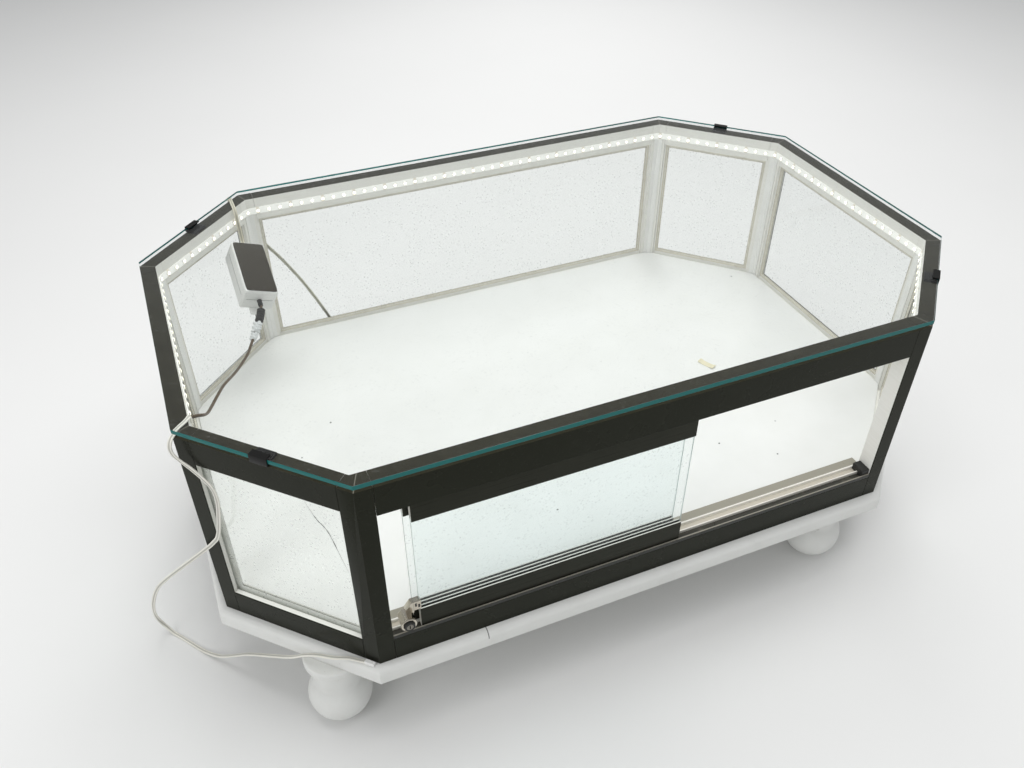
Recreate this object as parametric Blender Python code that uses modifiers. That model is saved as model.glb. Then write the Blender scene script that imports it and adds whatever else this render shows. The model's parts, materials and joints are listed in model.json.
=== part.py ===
"""Low lighted display case: a chamfered glass box on a painted plinth with ball feet.

Eight posts carry top and bottom rails with panes in their grooves. Two glass doors
slide past each other in the front. A light strip runs round the inside of the rim,
fed by a small driver that hangs by its lead in the back left corner.

Metres, +Z up. X runs along the front, Y from front to back, the floor is at Z = 0.
"""

import math

import bmesh
import bpy
import numpy as np
from mathutils import Matrix, Vector

# Case outline, at the outer faces of the frame
FRAME_LENGTH = 1.040
FRAME_WIDTH = 0.672
CHAMFER_LEG = 0.155
FRAME_HEIGHT = 0.290

# Clearances
SEAT_GAP = 0.0003
GROOVE_GAP = 0.0005
RUN_GAP = 0.0006

# Base
FOOT_HEIGHT = 0.1205
FOOT_BALL_RADIUS = 0.040
FOOT_FLAT_RADIUS = 0.014
FOOT_NECK_RADIUS = 0.031
FOOT_BEAD_HEIGHT = 0.0075
FOOT_BEAD_PROUD = 0.0055
FOOT_WAIST_RADIUS = 0.043
FOOT_FLARE_RADIUS = 0.068
FOOT_FLARE_HEIGHT = 0.017
FOOT_STEPS = 28
FOOT_LEFT_IN = 0.109
FOOT_LEFT_SIDE = 0.060
FOOT_RIGHT_IN = 0.199
FOOT_RIGHT_SIDE = 0.049
PLINTH_THICK = 0.025
PLINTH_OVERHANG = 0.011
PLINTH_ROUND = 0.009

# Frame members
TUBE_DEEP = 0.019
POST_FACE = 0.020
TOP_RAIL = 0.0345
BOTTOM_RAIL = 0.0368
RAIL_STEP_WIDE = 0.0035
RAIL_STEP_HIGH = 0.0045
DECK_LEDGE = 0.010
DECK_THICK = 0.012
DECK_DROP = 0.0015

# Panes and top glass
PANE_THICK = 0.004
PANE_BITE = 0.006
TOP_GLASS_THICK = 0.006

# Rim clips at the middle of each chamfer
CLIP_WIDE = 0.022
CLIP_PAD = 0.003
CLIP_SHEET = 0.0014
CLIP_LIP = 0.007
CLIP_REACH = 0.017

# Sliding doors
DOOR_WIDE = 0.349
DOOR_RAIL_THICK = 0.008
DOOR_LOW_RAIL = 0.034
DOOR_TOP_RAIL = 0.0355
DOOR_GLASS_BITE = 0.008
OUTER_DOOR_IN = 0.0557
INNER_DOOR_IN = 0.0500
TRACK_FIN = 0.002
TRACK_WEB = 0.002
TRACK_LIP = 0.006
TRACK_FLANGE = 0.0125
TRACK_SHEET = 0.0015
HEADER_HIGH = 0.0415
HEADER_CHANNEL = 0.018
DOOR_TONGUE = 0.008
STOP_LONG = 0.012
STOP_HIGH = 0.007

# Push lock at the lower left corner of the outer door
LOCK_BARREL_RADIUS = 0.009
LOCK_PLUNGER_RADIUS = 0.0065
LOCK_KEY_RADIUS = 0.0042
LOCK_BARREL_LONG = 0.0155
LOCK_PLUNGER_LONG = 0.018
LOCK_PROUD = 0.0065
LOCK_KEY_DEEP = 0.009
LOCK_KEYWAY_WIDE = 0.0012
LOCK_KEYWAY_DEEP = 0.004
LOCK_EDGE_GAP = 0.008
LOCK_ABOVE_LIP = 0.012
LOCK_BARREL_BACK = 0.0115
LOCK_CLAMP_WIDE = 0.012
LOCK_CLAMP_HIGH = 0.018
LOCK_CLAMP_SHEET = 0.0016
ROUND_STEPS = 24

# Light strip on the inner face of the top rails
STRIP_WIDE = 0.010
STRIP_THICK = 0.0022
STRIP_DROP = 0.0153
STRIP_LEFT_END = 0.034
STRIP_RIGHT_END = 0.015

# Driver, hung in the back left corner with one corner on the pane
DRIVER_WIDE = 0.0494
DRIVER_LONG = 0.0996
DRIVER_THICK = 0.036
DRIVER_ROUND = 0.0025
DRIVER_PITCH = math.radians(17.0)
DRIVER_ROLL = math.radians(23.0)
DRIVER_CORNER_ALONG = 0.0709
DRIVER_CORNER_HIGH = 0.3673
EAR_LONG = 0.012
EAR_WIDE = 0.020
EAR_THICK = 0.0025
EAR_HOLE_RADIUS = 0.0021

# Leads: flat twin leads stand as round tubes, thinner where they pass under the glass
LEAD_WIDE = 0.0052
LEAD_FLAT = 0.0026
DC_LEAD_WIDE = 0.0036
LEAD_STEP = 0.0128
DC_LEAD_STEP = 0.0090
LEAD_EXIT = 0.006
DC_LEAD_EXIT = 0.012
COIL_TURNS = 2
COIL_INNER_RADIUS = 0.0225
COIL_PITCH = 0.0058
COIL_DIP = 0.3
COIL_POINTS = 24
COIL_ALONG = 0.395
COIL_BEHIND = 0.044
COIL_TAIL = 0.0115
PLUG_TAIL = 0.036

# Plug at the end of the mains lead
PLUG_LONG = 0.030
PLUG_WIDE = 0.024
PLUG_HIGH = 0.017
PLUG_ROUND = 0.004
PIN_LONG = 0.016
PIN_WIDE = 0.0063
PIN_THICK = 0.0016
PIN_APART = 0.0127

# Levels that follow from the sizes above
PLINTH_TOP = FOOT_HEIGHT + PLINTH_THICK
FRAME_LOW = PLINTH_TOP + SEAT_GAP
RIM_TOP = FRAME_LOW + FRAME_HEIGHT
GLASS_LOW = RIM_TOP + CLIP_PAD + 2 * SEAT_GAP
DECK_TOP = FRAME_LOW + BOTTOM_RAIL - DECK_DROP
TRACK_LOW = FRAME_LOW + BOTTOM_RAIL + SEAT_GAP
HEADER_LOW = RIM_TOP - HEADER_HIGH

# Door channels across the front
CHANNEL = DOOR_RAIL_THICK + 2 * RUN_GAP
FRONT_DEEP = 3 * TRACK_FIN + 2 * CHANNEL
OUTER_CHANNEL = TRACK_FIN + CHANNEL / 2
INNER_CHANNEL = 2 * TRACK_FIN + 1.5 * CHANNEL

# Resting places of the doors' left edges, measured from the front left corner
FRONT_LEFT_X = CHAMFER_LEG - FRAME_LENGTH / 2
OUTER_DOOR_LEFT = FRONT_LEFT_X + OUTER_DOOR_IN
INNER_DOOR_LEFT = FRONT_LEFT_X + INNER_DOOR_IN

GROOVE_WIDE = PANE_THICK + 2 * GROOVE_GAP
GROOVE_START = (TUBE_DEEP - GROOVE_WIDE) / 2
GROOVE_DEEP = PANE_BITE + GROOVE_GAP

SIDES = ("front", "front_right", "right", "back_right", "back", "back_left", "left", "front_left")
CORNERS = (
    "front_left", "front_right", "right_front", "right_back",
    "back_right", "back_left", "left_back", "left_front",
)
CHAMFERS = ("front_right", "back_right", "back_left", "front_left")
LIT_SIDES = ("front_right", "right", "back_right", "back", "back_left", "left")


def clear_scene():
    for obj in list(bpy.data.objects):
        bpy.data.objects.remove(obj, do_unlink=True)


def new_collection(name):
    collection = bpy.data.collections.new(name)
    bpy.context.scene.collection.children.link(collection)
    return collection


def finish(name, color, roughness, metallic=0.0, alpha=1.0):
    material = bpy.data.materials.new(name)
    material.use_nodes = True
    shader = material.node_tree.nodes["Principled BSDF"]
    shader.inputs["Base Color"].default_value = (*color, 1.0)
    shader.inputs["Roughness"].default_value = roughness
    shader.inputs["Metallic"].default_value = metallic
    shader.inputs["Alpha"].default_value = alpha
    return material


def cross(first, second):
    return first.x * second.y - first.y * second.x


def case_corners():
    """Outer corners of the frame, anticlockwise from the front left one."""
    half_long = FRAME_LENGTH / 2
    half_wide = FRAME_WIDTH / 2
    short_x = half_long - CHAMFER_LEG
    short_y = half_wide - CHAMFER_LEG
    return [
        Vector((-short_x, -half_wide)), Vector((short_x, -half_wide)),
        Vector((half_long, -short_y)), Vector((half_long, short_y)),
        Vector((short_x, half_wide)), Vector((-short_x, half_wide)),
        Vector((-half_long, short_y)), Vector((-half_long, -short_y)),
    ]


class Side:
    """One of the eight sides: its ends, direction, inward normal and length."""

    def __init__(self, name, start, end):
        self.name = name
        self.start = start
        self.end = end
        self.along = (end - start).normalized()
        self.inward = Vector((-self.along.y, self.along.x))
        self.length = (end - start).length

    def matrix(self, high, shift=0.0):
        """Local X points inward, Y up and Z along the side, from the middle of its outer face."""
        middle = (self.start + self.end) / 2 + self.along * shift
        turn = Matrix((
            (self.inward.x, 0.0, self.along.x),
            (self.inward.y, 0.0, self.along.y),
            (0.0, 1.0, 0.0),
        ))
        return Matrix.Translation((middle.x, middle.y, high)) @ turn.to_4x4()

    def rail_length(self):
        return self.length - 2 * POST_FACE - 2 * SEAT_GAP


def inset_outline(inset, front_inset=None):
    """The case outline moved inward, with its own distance for the front side."""
    outline = []
    for index, side in enumerate(CASE):
        before = CASE[index - 1]
        near = [
            front_inset if front_inset is not None and each.name == "front" else inset
            for each in (before, side)
        ]
        point = before.start + before.inward * near[0]
        other = side.start + side.inward * near[1]
        step = cross(other - point, side.along) / cross(before.along, side.along)
        outline.append(point + before.along * step)
    return outline


def make_curve_object(name, curve, matrix, material, collection):
    obj = bpy.data.objects.new(name, curve)
    collection.objects.link(obj)
    obj.matrix_world = matrix
    curve.materials.append(material)
    return obj


def prism(name, outline, low, high, matrix, material, collection=None):
    """A flat outline in local X and Y, as thick as low to high along local Z."""
    curve = bpy.data.curves.new(name, "CURVE")
    curve.dimensions = "2D"
    curve.fill_mode = "BOTH"
    curve.extrude = (high - low) / 2
    spline = curve.splines.new("POLY")
    spline.points.add(len(outline) - 1)
    for point, place in zip(spline.points, outline):
        point.co = (place[0], place[1], 0.0, 1.0)
    spline.use_cyclic_u = True
    placed = matrix @ Matrix.Translation((0, 0, (low + high) / 2))
    return make_curve_object(name, curve, placed, material, collection or PARTS)


def mesh_object(name, shape, matrix, material, collection=None):
    mesh = bpy.data.meshes.new(name)
    shape.to_mesh(mesh)
    shape.free()
    mesh.materials.append(material)
    obj = bpy.data.objects.new(name, mesh)
    (collection or PARTS).objects.link(obj)
    obj.matrix_world = matrix
    return obj


def as_mesh(curve_object):
    """The same solid as a mesh with welded caps, in place of the curve."""
    name = curve_object.name
    bpy.context.view_layer.update()
    graph = bpy.context.evaluated_depsgraph_get()
    mesh = bpy.data.meshes.new_from_object(curve_object.evaluated_get(graph))
    shape = bmesh.new()
    shape.from_mesh(mesh)
    bmesh.ops.remove_doubles(shape, verts=shape.verts, dist=1e-6)
    bmesh.ops.recalc_face_normals(shape, faces=shape.faces)
    shape.to_mesh(mesh)
    shape.free()
    matrix = curve_object.matrix_world.copy()
    collection = curve_object.users_collection[0]
    bpy.data.objects.remove(curve_object, do_unlink=True)
    obj = bpy.data.objects.new(name, mesh)
    collection.objects.link(obj)
    obj.name = name
    obj.matrix_world = matrix
    return obj


def box(name, low, high, matrix, material, collection=None):
    """A box between two corners given in the matrix's frame."""
    low = Vector(low)
    high = Vector(high)
    shape = bmesh.new()
    bmesh.ops.create_cube(shape, size=1.0)
    bmesh.ops.scale(shape, vec=high - low, verts=shape.verts)
    placed = matrix @ Matrix.Translation((low + high) / 2)
    return mesh_object(name, shape, placed, material, collection)


def rod(name, radius, long, matrix, material, collection=None, steps=ROUND_STEPS):
    """A round bar along local Z, centred on the matrix."""
    shape = bmesh.new()
    bmesh.ops.create_cone(
        shape, cap_ends=True, segments=steps, radius1=radius, radius2=radius, depth=long
    )
    return mesh_object(name, shape, matrix, material, collection)


def combine(target, tool, operation):
    """A Boolean of two meshes. The tool is kept as a hidden wire."""
    tool.hide_render = True
    tool.display_type = "WIRE"
    modifier = target.modifiers.new(operation.title(), "BOOLEAN")
    modifier.operation = operation
    modifier.object = tool


def round_edges(obj, width, segments):
    modifier = obj.modifiers.new("Bevel", "BEVEL")
    modifier.width = width
    modifier.segments = segments
    modifier.limit_method = "ANGLE"


def smooth_shading(obj, degrees=40):
    obj.data.shade_smooth()
    obj.data.set_sharp_from_angle(angle=math.radians(degrees))


def arc(center, radius, start, end, count):
    """Points on a circle from one angle to another, in degrees."""
    angles = np.radians(np.linspace(start, end, count))
    return [(center[0] + radius * math.cos(a), center[1] + radius * math.sin(a)) for a in angles]


def foot_levels():
    """Heights of the ball's middle, the neck above it and the top of the bead round the neck."""
    ball_high = math.sqrt(FOOT_BALL_RADIUS ** 2 - FOOT_FLAT_RADIUS ** 2)
    neck_high = ball_high + math.sqrt(FOOT_BALL_RADIUS ** 2 - FOOT_NECK_RADIUS ** 2)
    return ball_high, neck_high, neck_high + FOOT_BEAD_HEIGHT


def foot_profile():
    """Outer side of the turned foot, from its flared top down to the floor."""
    ball_high, neck_high, bead_top = foot_levels()
    bead_radius = FOOT_NECK_RADIUS + FOOT_BEAD_PROUD
    top = FOOT_HEIGHT - SEAT_GAP
    flare_wide = FOOT_FLARE_RADIUS - FOOT_WAIST_RADIUS
    flare = [
        (FOOT_FLARE_RADIUS - flare_wide * math.sin(t), top - FOOT_FLARE_HEIGHT * (1 - math.cos(t)))
        for t in np.linspace(0.0, math.pi / 2, 6)
    ]
    bead_middle = (bead_radius - FOOT_BEAD_HEIGHT / 2, neck_high + FOOT_BEAD_HEIGHT / 2)
    bead = arc(bead_middle, FOOT_BEAD_HEIGHT / 2, 80, -80, 5)
    neck_angle = math.degrees(math.asin((neck_high - ball_high) / FOOT_BALL_RADIUS))
    flat_angle = math.degrees(math.asin(-ball_high / FOOT_BALL_RADIUS))
    ball = arc((0.0, ball_high), FOOT_BALL_RADIUS, neck_angle, flat_angle, 12)
    waist_foot = [(bead_radius + FOOT_BEAD_PROUD / 2, bead_top)]
    return [(0.0, top)] + flare + waist_foot + bead + ball + [(0.0, 0.0)]


def make_foot(name, x, y, trim):
    """A turned foot, its flared head trimmed flush with the plinth's sides."""
    mesh = bpy.data.meshes.new(name)
    points = [(r, 0.0, z) for r, z in foot_profile()]
    mesh.from_pydata(points, [(i, i + 1) for i in range(len(points) - 1)], [])
    mesh.materials.append(PAINT)
    foot = bpy.data.objects.new(name, mesh)
    PARTS.objects.link(foot)
    foot.location = (x, y, 0.0)
    screw = foot.modifiers.new("Turn", "SCREW")
    screw.steps = FOOT_STEPS
    screw.render_steps = FOOT_STEPS
    screw.use_merge_vertices = True
    screw.merge_threshold = 0.00005
    screw.use_smooth_shade = True
    combine(foot, trim, "INTERSECT")


def make_base():
    outline = inset_outline(-PLINTH_OVERHANG)
    ground = Matrix.Identity(4)
    # The heads end flush with the plinth's sides, and the balls below them stay whole
    trim = as_mesh(prism("foot_trim", outline, 0.0, FOOT_HEIGHT, ground, PAINT, CUTTERS))
    around = inset_outline(-PLINTH_OVERHANG - FOOT_FLARE_RADIUS)
    whole = prism("foot_whole", around, -FOOT_BALL_RADIUS, foot_levels()[2], ground, PAINT, CUTTERS)
    combine(trim, as_mesh(whole), "UNION")
    left_x = FOOT_LEFT_IN - FRAME_LENGTH / 2
    left_y = FRAME_WIDTH / 2 - FOOT_LEFT_SIDE
    right_x = FRAME_LENGTH / 2 - FOOT_RIGHT_IN
    right_y = FRAME_WIDTH / 2 - FOOT_RIGHT_SIDE
    for hand, word in ((-1, "front"), (1, "back")):
        make_foot(f"foot_{word}_left", left_x, hand * left_y, trim)
        make_foot(f"foot_{word}_right", right_x, hand * right_y, trim)
    plinth = as_mesh(prism("plinth_board", outline, FOOT_HEIGHT, PLINTH_TOP, ground, PAINT))
    shape = bmesh.new()
    shape.from_mesh(plinth.data)
    top = max(vertex.co.z for vertex in shape.verts)
    rim = [
        edge for edge in shape.edges
        if all(vertex.co.z > top - 1e-5 for vertex in edge.verts) and edge.calc_face_angle(0.0) > 1.0
    ]
    bmesh.ops.bevel(
        shape, geom=rim, offset=PLINTH_ROUND, segments=4, affect="EDGES", profile=0.5
    )
    shape.to_mesh(plinth.data)
    shape.free()
    smooth_shading(plinth, 30)


def groove_points(end, inward, into):
    """Outline of a pane groove's cutter in the end face of a post's leg, open past the face."""
    near = end + inward * GROOVE_START
    far = near + inward * GROOVE_WIDE
    deep = into * GROOVE_DEEP
    return [near - deep, near + deep, far + deep, far - deep]


def make_posts():
    """Corner posts up to the rim, with a stopped groove for each pane that ends in them."""
    inner = inset_outline(TUBE_DEEP, FRONT_DEEP)
    groove_low = FRAME_LOW + BOTTOM_RAIL - GROOVE_DEEP
    groove_high = RIM_TOP - TOP_RAIL + GROOVE_DEEP
    world = Matrix.Identity(4)
    for index, corner in enumerate(CORNERS):
        after = CASE[index]
        before = CASE[index - 1]
        outer = after.start
        outline = [outer]
        legs = []
        for side, along in ((after, after.along), (before, -before.along)):
            deep = FRONT_DEEP if side.name == "front" else TUBE_DEEP
            end = outer + along * POST_FACE
            legs.append((end, end + side.inward * deep))
            if side.name == "front":
                continue
            slot = prism(f"post_{corner}_{side.name}_groove", groove_points(end, side.inward, -along),
                         groove_low, groove_high, world, FRAME, CUTTERS)
            legs[-1] += (as_mesh(slot),)
        outline += [*legs[0][:2], inner[index], legs[1][1], legs[1][0]]
        post = as_mesh(prism(f"post_{corner}", outline, FRAME_LOW, RIM_TOP, world, FRAME))
        for leg in legs:
            for slot in leg[2:]:
                combine(post, slot, "DIFFERENCE")


def top_rail_section():
    """Plain tube with the pane's groove in its underside."""
    start = GROOVE_START
    end = GROOVE_START + GROOVE_WIDE
    return [
        (0, 0), (0, -TOP_RAIL), (start, -TOP_RAIL), (start, GROOVE_DEEP - TOP_RAIL),
        (end, GROOVE_DEEP - TOP_RAIL), (end, -TOP_RAIL), (TUBE_DEEP, -TOP_RAIL), (TUBE_DEEP, 0),
    ]


def bottom_rail_section(deep, grooved):
    """Tube with a stepped inner edge and a ledge for the deck, grooved where it holds a pane."""
    ledge_top = BOTTOM_RAIL - DECK_DROP - DECK_THICK - SEAT_GAP
    step_x = deep - RAIL_STEP_WIDE
    step_y = BOTTOM_RAIL - RAIL_STEP_HIGH
    section = [(0, 0), (deep + DECK_LEDGE, 0), (deep + DECK_LEDGE, ledge_top), (deep, ledge_top)]
    section += [(deep, step_y), (step_x, step_y), (step_x, BOTTOM_RAIL)]
    if grooved:
        floor = BOTTOM_RAIL - GROOVE_DEEP
        end = GROOVE_START + GROOVE_WIDE
        section += [(end, BOTTOM_RAIL), (end, floor), (GROOVE_START, floor), (GROOVE_START, BOTTOM_RAIL)]
    return section + [(0, BOTTOM_RAIL)]


def channel_section(base, depth, high):
    """Two door channels between three fins, open towards the end at the given height."""
    floor = base + depth
    first = TRACK_FIN
    middle = FRONT_DEEP / 2
    half = TRACK_FIN / 2
    last = FRONT_DEEP - TRACK_FIN
    return [
        (0, base), (FRONT_DEEP, base), (FRONT_DEEP, high), (last, high), (last, floor),
        (middle + half, floor), (middle + half, high), (middle - half, high), (middle - half, floor),
        (first, floor), (first, high), (0, high),
    ]


def make_rails():
    solid_header = -(HEADER_HIGH - HEADER_CHANNEL)
    for side in CASE:
        half = side.rail_length() / 2
        front = side.name == "front"
        top = channel_section(0, solid_header, -HEADER_HIGH) if front else top_rail_section()
        prism(f"top_rail_{side.name}", top, -half, half, side.matrix(RIM_TOP), FRAME)
        deep = FRONT_DEEP if front else TUBE_DEEP
        low = bottom_rail_section(deep, not front)
        prism(f"bottom_rail_{side.name}", low, -half, half, side.matrix(FRAME_LOW), FRAME)


def make_panes():
    near = (TUBE_DEEP - PANE_THICK) / 2
    far = near + PANE_THICK
    low = BOTTOM_RAIL - PANE_BITE
    high = FRAME_HEIGHT - TOP_RAIL + PANE_BITE
    for side in CASE:
        if side.name == "front":
            continue
        half = side.length / 2 - POST_FACE + PANE_BITE
        section = [(near, low), (far, low), (far, high), (near, high)]
        prism(f"pane_{side.name}", section, -half, half, side.matrix(FRAME_LOW), GLASS)


def make_deck():
    outline = inset_outline(TUBE_DEEP + GROOVE_GAP, FRONT_DEEP + GROOVE_GAP)
    prism("deck_panel", outline, DECK_TOP - DECK_THICK, DECK_TOP, Matrix.Identity(4), DECK)


def make_top():
    high = GLASS_LOW + TOP_GLASS_THICK
    prism("top_glass", inset_outline(0.0), GLASS_LOW, high, Matrix.Identity(4), GLASS)
    outer = -SEAT_GAP - CLIP_SHEET
    pad_top = SEAT_GAP + CLIP_PAD
    lip_low = pad_top + 2 * SEAT_GAP + TOP_GLASS_THICK
    section = [
        (outer, SEAT_GAP), (CLIP_REACH, SEAT_GAP), (CLIP_REACH, pad_top), (-SEAT_GAP, pad_top),
        (-SEAT_GAP, lip_low), (CLIP_LIP, lip_low), (CLIP_LIP, lip_low + CLIP_SHEET),
        (outer, lip_low + CLIP_SHEET),
    ]
    for side in CASE:
        if side.name in CHAMFERS:
            half = CLIP_WIDE / 2
            prism(f"glass_clip_{side.name}", section, -half, half, side.matrix(RIM_TOP), CLIP)


def make_track():
    front = CASE[0]
    half = front.rail_length() / 2
    # An angle at the back of the inner channel reaches down to the deck.
    back = FRONT_DEEP + TRACK_FLANGE
    inside = back - TRACK_SHEET
    under = TRACK_LIP - TRACK_SHEET
    angle = [
        (FRONT_DEEP, under), (inside, under), (inside, -DECK_DROP), (back, -DECK_DROP), (back, TRACK_LIP),
    ]
    channels = channel_section(0, TRACK_WEB, TRACK_LIP)
    section = channels[:2] + angle + channels[3:]
    prism("lower_track", section, -half, half, front.matrix(TRACK_LOW), BRIGHT)
    # The stop straddles the middle fin, with a leg in each channel.
    low = TRACK_WEB + SEAT_GAP
    left = TRACK_FIN + SEAT_GAP
    right = FRONT_DEEP - left
    fin_left = FRONT_DEEP / 2 - TRACK_FIN / 2 - SEAT_GAP
    fin_right = FRONT_DEEP - fin_left
    bridge = TRACK_LIP + SEAT_GAP
    high = bridge + STOP_HIGH
    stop = [
        (left, low), (fin_left, low), (fin_left, bridge), (fin_right, bridge), (fin_right, low),
        (right, low), (right, high), (left, high),
    ]
    prism("track_stop_right", stop, half - STOP_LONG, half, front.matrix(TRACK_LOW), BLACK)


def door_rail_section(high, glass_side):
    """A door rail with the glass groove in its upper (1) or lower (-1) edge."""
    half = DOOR_RAIL_THICK / 2
    slot = PANE_THICK / 2 + SEAT_GAP
    deep = DOOR_GLASS_BITE + SEAT_GAP
    edge = high if glass_side > 0 else 0.0
    floor = edge - glass_side * deep
    other = high - edge
    return [
        (-half, other), (half, other), (half, edge), (slot, edge),
        (slot, floor), (-slot, floor), (-slot, edge), (-half, edge),
    ]


def make_door(word, channel, left):
    """A pane between two rails that run in one channel of the tracks."""
    front = CASE[0]
    holder = bpy.data.objects.new(f"{word}_door", None)
    PARTS.objects.link(holder)
    middle = left + DOOR_WIDE / 2
    holder.matrix_world = front.matrix(0.0, middle) @ Matrix.Translation((channel, 0, 0))
    half = DOOR_WIDE / 2
    low = TRACK_LOW + TRACK_WEB + SEAT_GAP
    top = HEADER_LOW + DOOR_TONGUE
    pieces = [
        ("bottom_rail", door_rail_section(DOOR_LOW_RAIL, 1), low, FRAME),
        ("top_rail", door_rail_section(DOOR_TOP_RAIL, -1), top - DOOR_TOP_RAIL, FRAME),
    ]
    glass_half = PANE_THICK / 2
    glass_low = low + DOOR_LOW_RAIL - DOOR_GLASS_BITE
    glass_high = top - DOOR_TOP_RAIL + DOOR_GLASS_BITE - glass_low
    sheet = [(-glass_half, 0), (glass_half, 0), (glass_half, glass_high), (-glass_half, glass_high)]
    pieces.append(("glass", sheet, glass_low, GLASS))
    for piece, section, high, material in pieces:
        obj = prism(f"{word}_door_{piece}", section, -half, half, Matrix.Identity(4), material)
        obj.parent = holder
        obj.matrix_parent_inverse = Matrix.Identity(4)
        obj.matrix_basis = Matrix.Translation((0, high, 0))
    return holder


def lock_frame():
    """Middle of the lock barrel's front end, with local Z pointing into the case."""
    lip = TRACK_LOW + TRACK_LIP
    x = OUTER_DOOR_LEFT - LOCK_EDGE_GAP - LOCK_BARREL_RADIUS
    y = -FRAME_WIDTH / 2 + LOCK_BARREL_BACK - LOCK_BARREL_LONG
    z = lip + LOCK_ABOVE_LIP + LOCK_BARREL_RADIUS
    return Matrix.Translation((x, y, z)) @ Matrix.Rotation(math.radians(-90), 4, "X")


def make_lock(holder):
    """A push lock in a barrel that is clamped on the edge of the outer door's glass."""
    place = lock_frame()
    middle = place.translation
    body = rod("lock_body", LOCK_BARREL_RADIUS, LOCK_BARREL_LONG,
               place @ Matrix.Translation((0, 0, LOCK_BARREL_LONG / 2)), BRIGHT)
    world = Matrix.Identity(4)
    glass_y = -FRAME_WIDTH / 2 + OUTER_CHANNEL
    front = glass_y - PANE_THICK / 2 - SEAT_GAP - LOCK_CLAMP_SHEET
    back = glass_y + PANE_THICK / 2 + SEAT_GAP + LOCK_CLAMP_SHEET
    rail_top = TRACK_LOW + TRACK_WEB + SEAT_GAP + DOOR_LOW_RAIL
    clamp_low = rail_top + 2 * SEAT_GAP
    clamp_top = clamp_low + LOCK_CLAMP_HIGH
    web_left = OUTER_DOOR_LEFT - LOCK_EDGE_GAP
    clamp = box("lock_clamp", (web_left, front, clamp_low),
                (OUTER_DOOR_LEFT + LOCK_CLAMP_WIDE, back, clamp_top), world, BRIGHT, CUTTERS)
    arm = box("lock_arm", (middle.x, front, middle.z + LOCK_PLUNGER_RADIUS),
              (web_left + LOCK_CLAMP_SHEET, back, clamp_top), world, BRIGHT, CUTTERS)
    glass_slot = box("lock_glass_slot",
                     (OUTER_DOOR_LEFT - SEAT_GAP, front + LOCK_CLAMP_SHEET, clamp_low - LOCK_CLAMP_HIGH),
                     (OUTER_DOOR_LEFT + DOOR_WIDE, back - LOCK_CLAMP_SHEET, clamp_top + LOCK_CLAMP_HIGH),
                     world, BRIGHT, CUTTERS)
    bore = rod("lock_bore", LOCK_PLUNGER_RADIUS + SEAT_GAP, 4 * LOCK_BARREL_LONG, place, BRIGHT, CUTTERS)
    combine(body, clamp, "UNION")
    combine(body, arm, "UNION")
    combine(body, glass_slot, "DIFFERENCE")
    combine(body, bore, "DIFFERENCE")
    plunger_middle = place @ Matrix.Translation((0, 0, LOCK_PLUNGER_LONG / 2 - LOCK_PROUD))
    plunger = rod("lock_plunger", LOCK_PLUNGER_RADIUS, LOCK_PLUNGER_LONG, plunger_middle, BLACK)
    seat = place @ Matrix.Translation((0, 0, LOCK_KEY_DEEP - LOCK_PROUD - 2 * LOCK_KEY_DEEP))
    key_bore = rod("lock_key_bore", LOCK_KEY_RADIUS + SEAT_GAP, 4 * LOCK_KEY_DEEP,
                   seat @ Matrix.Translation((0, 0, SEAT_GAP)), BLACK, CUTTERS)
    combine(plunger, key_bore, "DIFFERENCE")
    key_middle = place @ Matrix.Translation((0, 0, LOCK_KEY_DEEP / 2 - LOCK_PROUD))
    key = rod("lock_key_plug", LOCK_KEY_RADIUS, LOCK_KEY_DEEP, key_middle, BRIGHT)
    half_slot = LOCK_KEYWAY_WIDE / 2
    slot_tall = LOCK_KEY_RADIUS * 0.7
    keyway = box("lock_keyway", (-half_slot, -slot_tall, -LOCK_PROUD - LOCK_KEYWAY_DEEP),
                 (half_slot, slot_tall, LOCK_KEYWAY_DEEP - LOCK_PROUD), place, BLACK, CUTTERS)
    combine(key, keyway, "DIFFERENCE")
    bpy.context.view_layer.update()
    for obj in (body, plunger, key):
        world_matrix = obj.matrix_world.copy()
        obj.parent = holder
        obj.matrix_parent_inverse = holder.matrix_world.inverted()
        obj.matrix_basis = world_matrix


def make_strip():
    """One strip bent round the inner corners, from the front left corner to the front right one."""
    start_index = SIDES.index(LIT_SIDES[0])
    count = len(LIT_SIDES)
    near = inset_outline(TUBE_DEEP + SEAT_GAP, FRONT_DEEP + SEAT_GAP)
    far = inset_outline(TUBE_DEEP + SEAT_GAP + STRIP_THICK)
    first = CASE[start_index]
    last = CASE[start_index + count - 1]
    bends = range(start_index + 1, start_index + count)
    outline = []
    for corners, deep, order in ((near, 0.0, 1), (far, STRIP_THICK, -1)):
        begin = near[start_index] + first.along * STRIP_RIGHT_END + first.inward * deep
        finish_end = near[start_index + count] - last.along * STRIP_LEFT_END + last.inward * deep
        run = [begin] + [corners[index] for index in bends] + [finish_end]
        outline += run[::order]
    high = RIM_TOP - STRIP_DROP
    prism("led_strip", outline, high - STRIP_WIDE, high, Matrix.Identity(4), STRIP)


def driver_matrix():
    """Middle of the driver's upper face: X across, Y along to its rear end, Z out of the face."""
    side = CASE[SIDES.index("back_left")]
    turn = Matrix.Rotation(DRIVER_PITCH, 4, "X") @ Matrix.Rotation(DRIVER_ROLL, 4, "Y")
    depth = (TUBE_DEEP + PANE_THICK) / 2 + SEAT_GAP
    seat = side.start + side.along * DRIVER_CORNER_ALONG + side.inward * depth
    corner = turn @ Vector((-DRIVER_WIDE / 2, DRIVER_LONG / 2, -DRIVER_THICK))
    return Matrix.Translation(Vector((seat.x, seat.y, DRIVER_CORNER_HIGH)) - corner) @ turn


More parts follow.
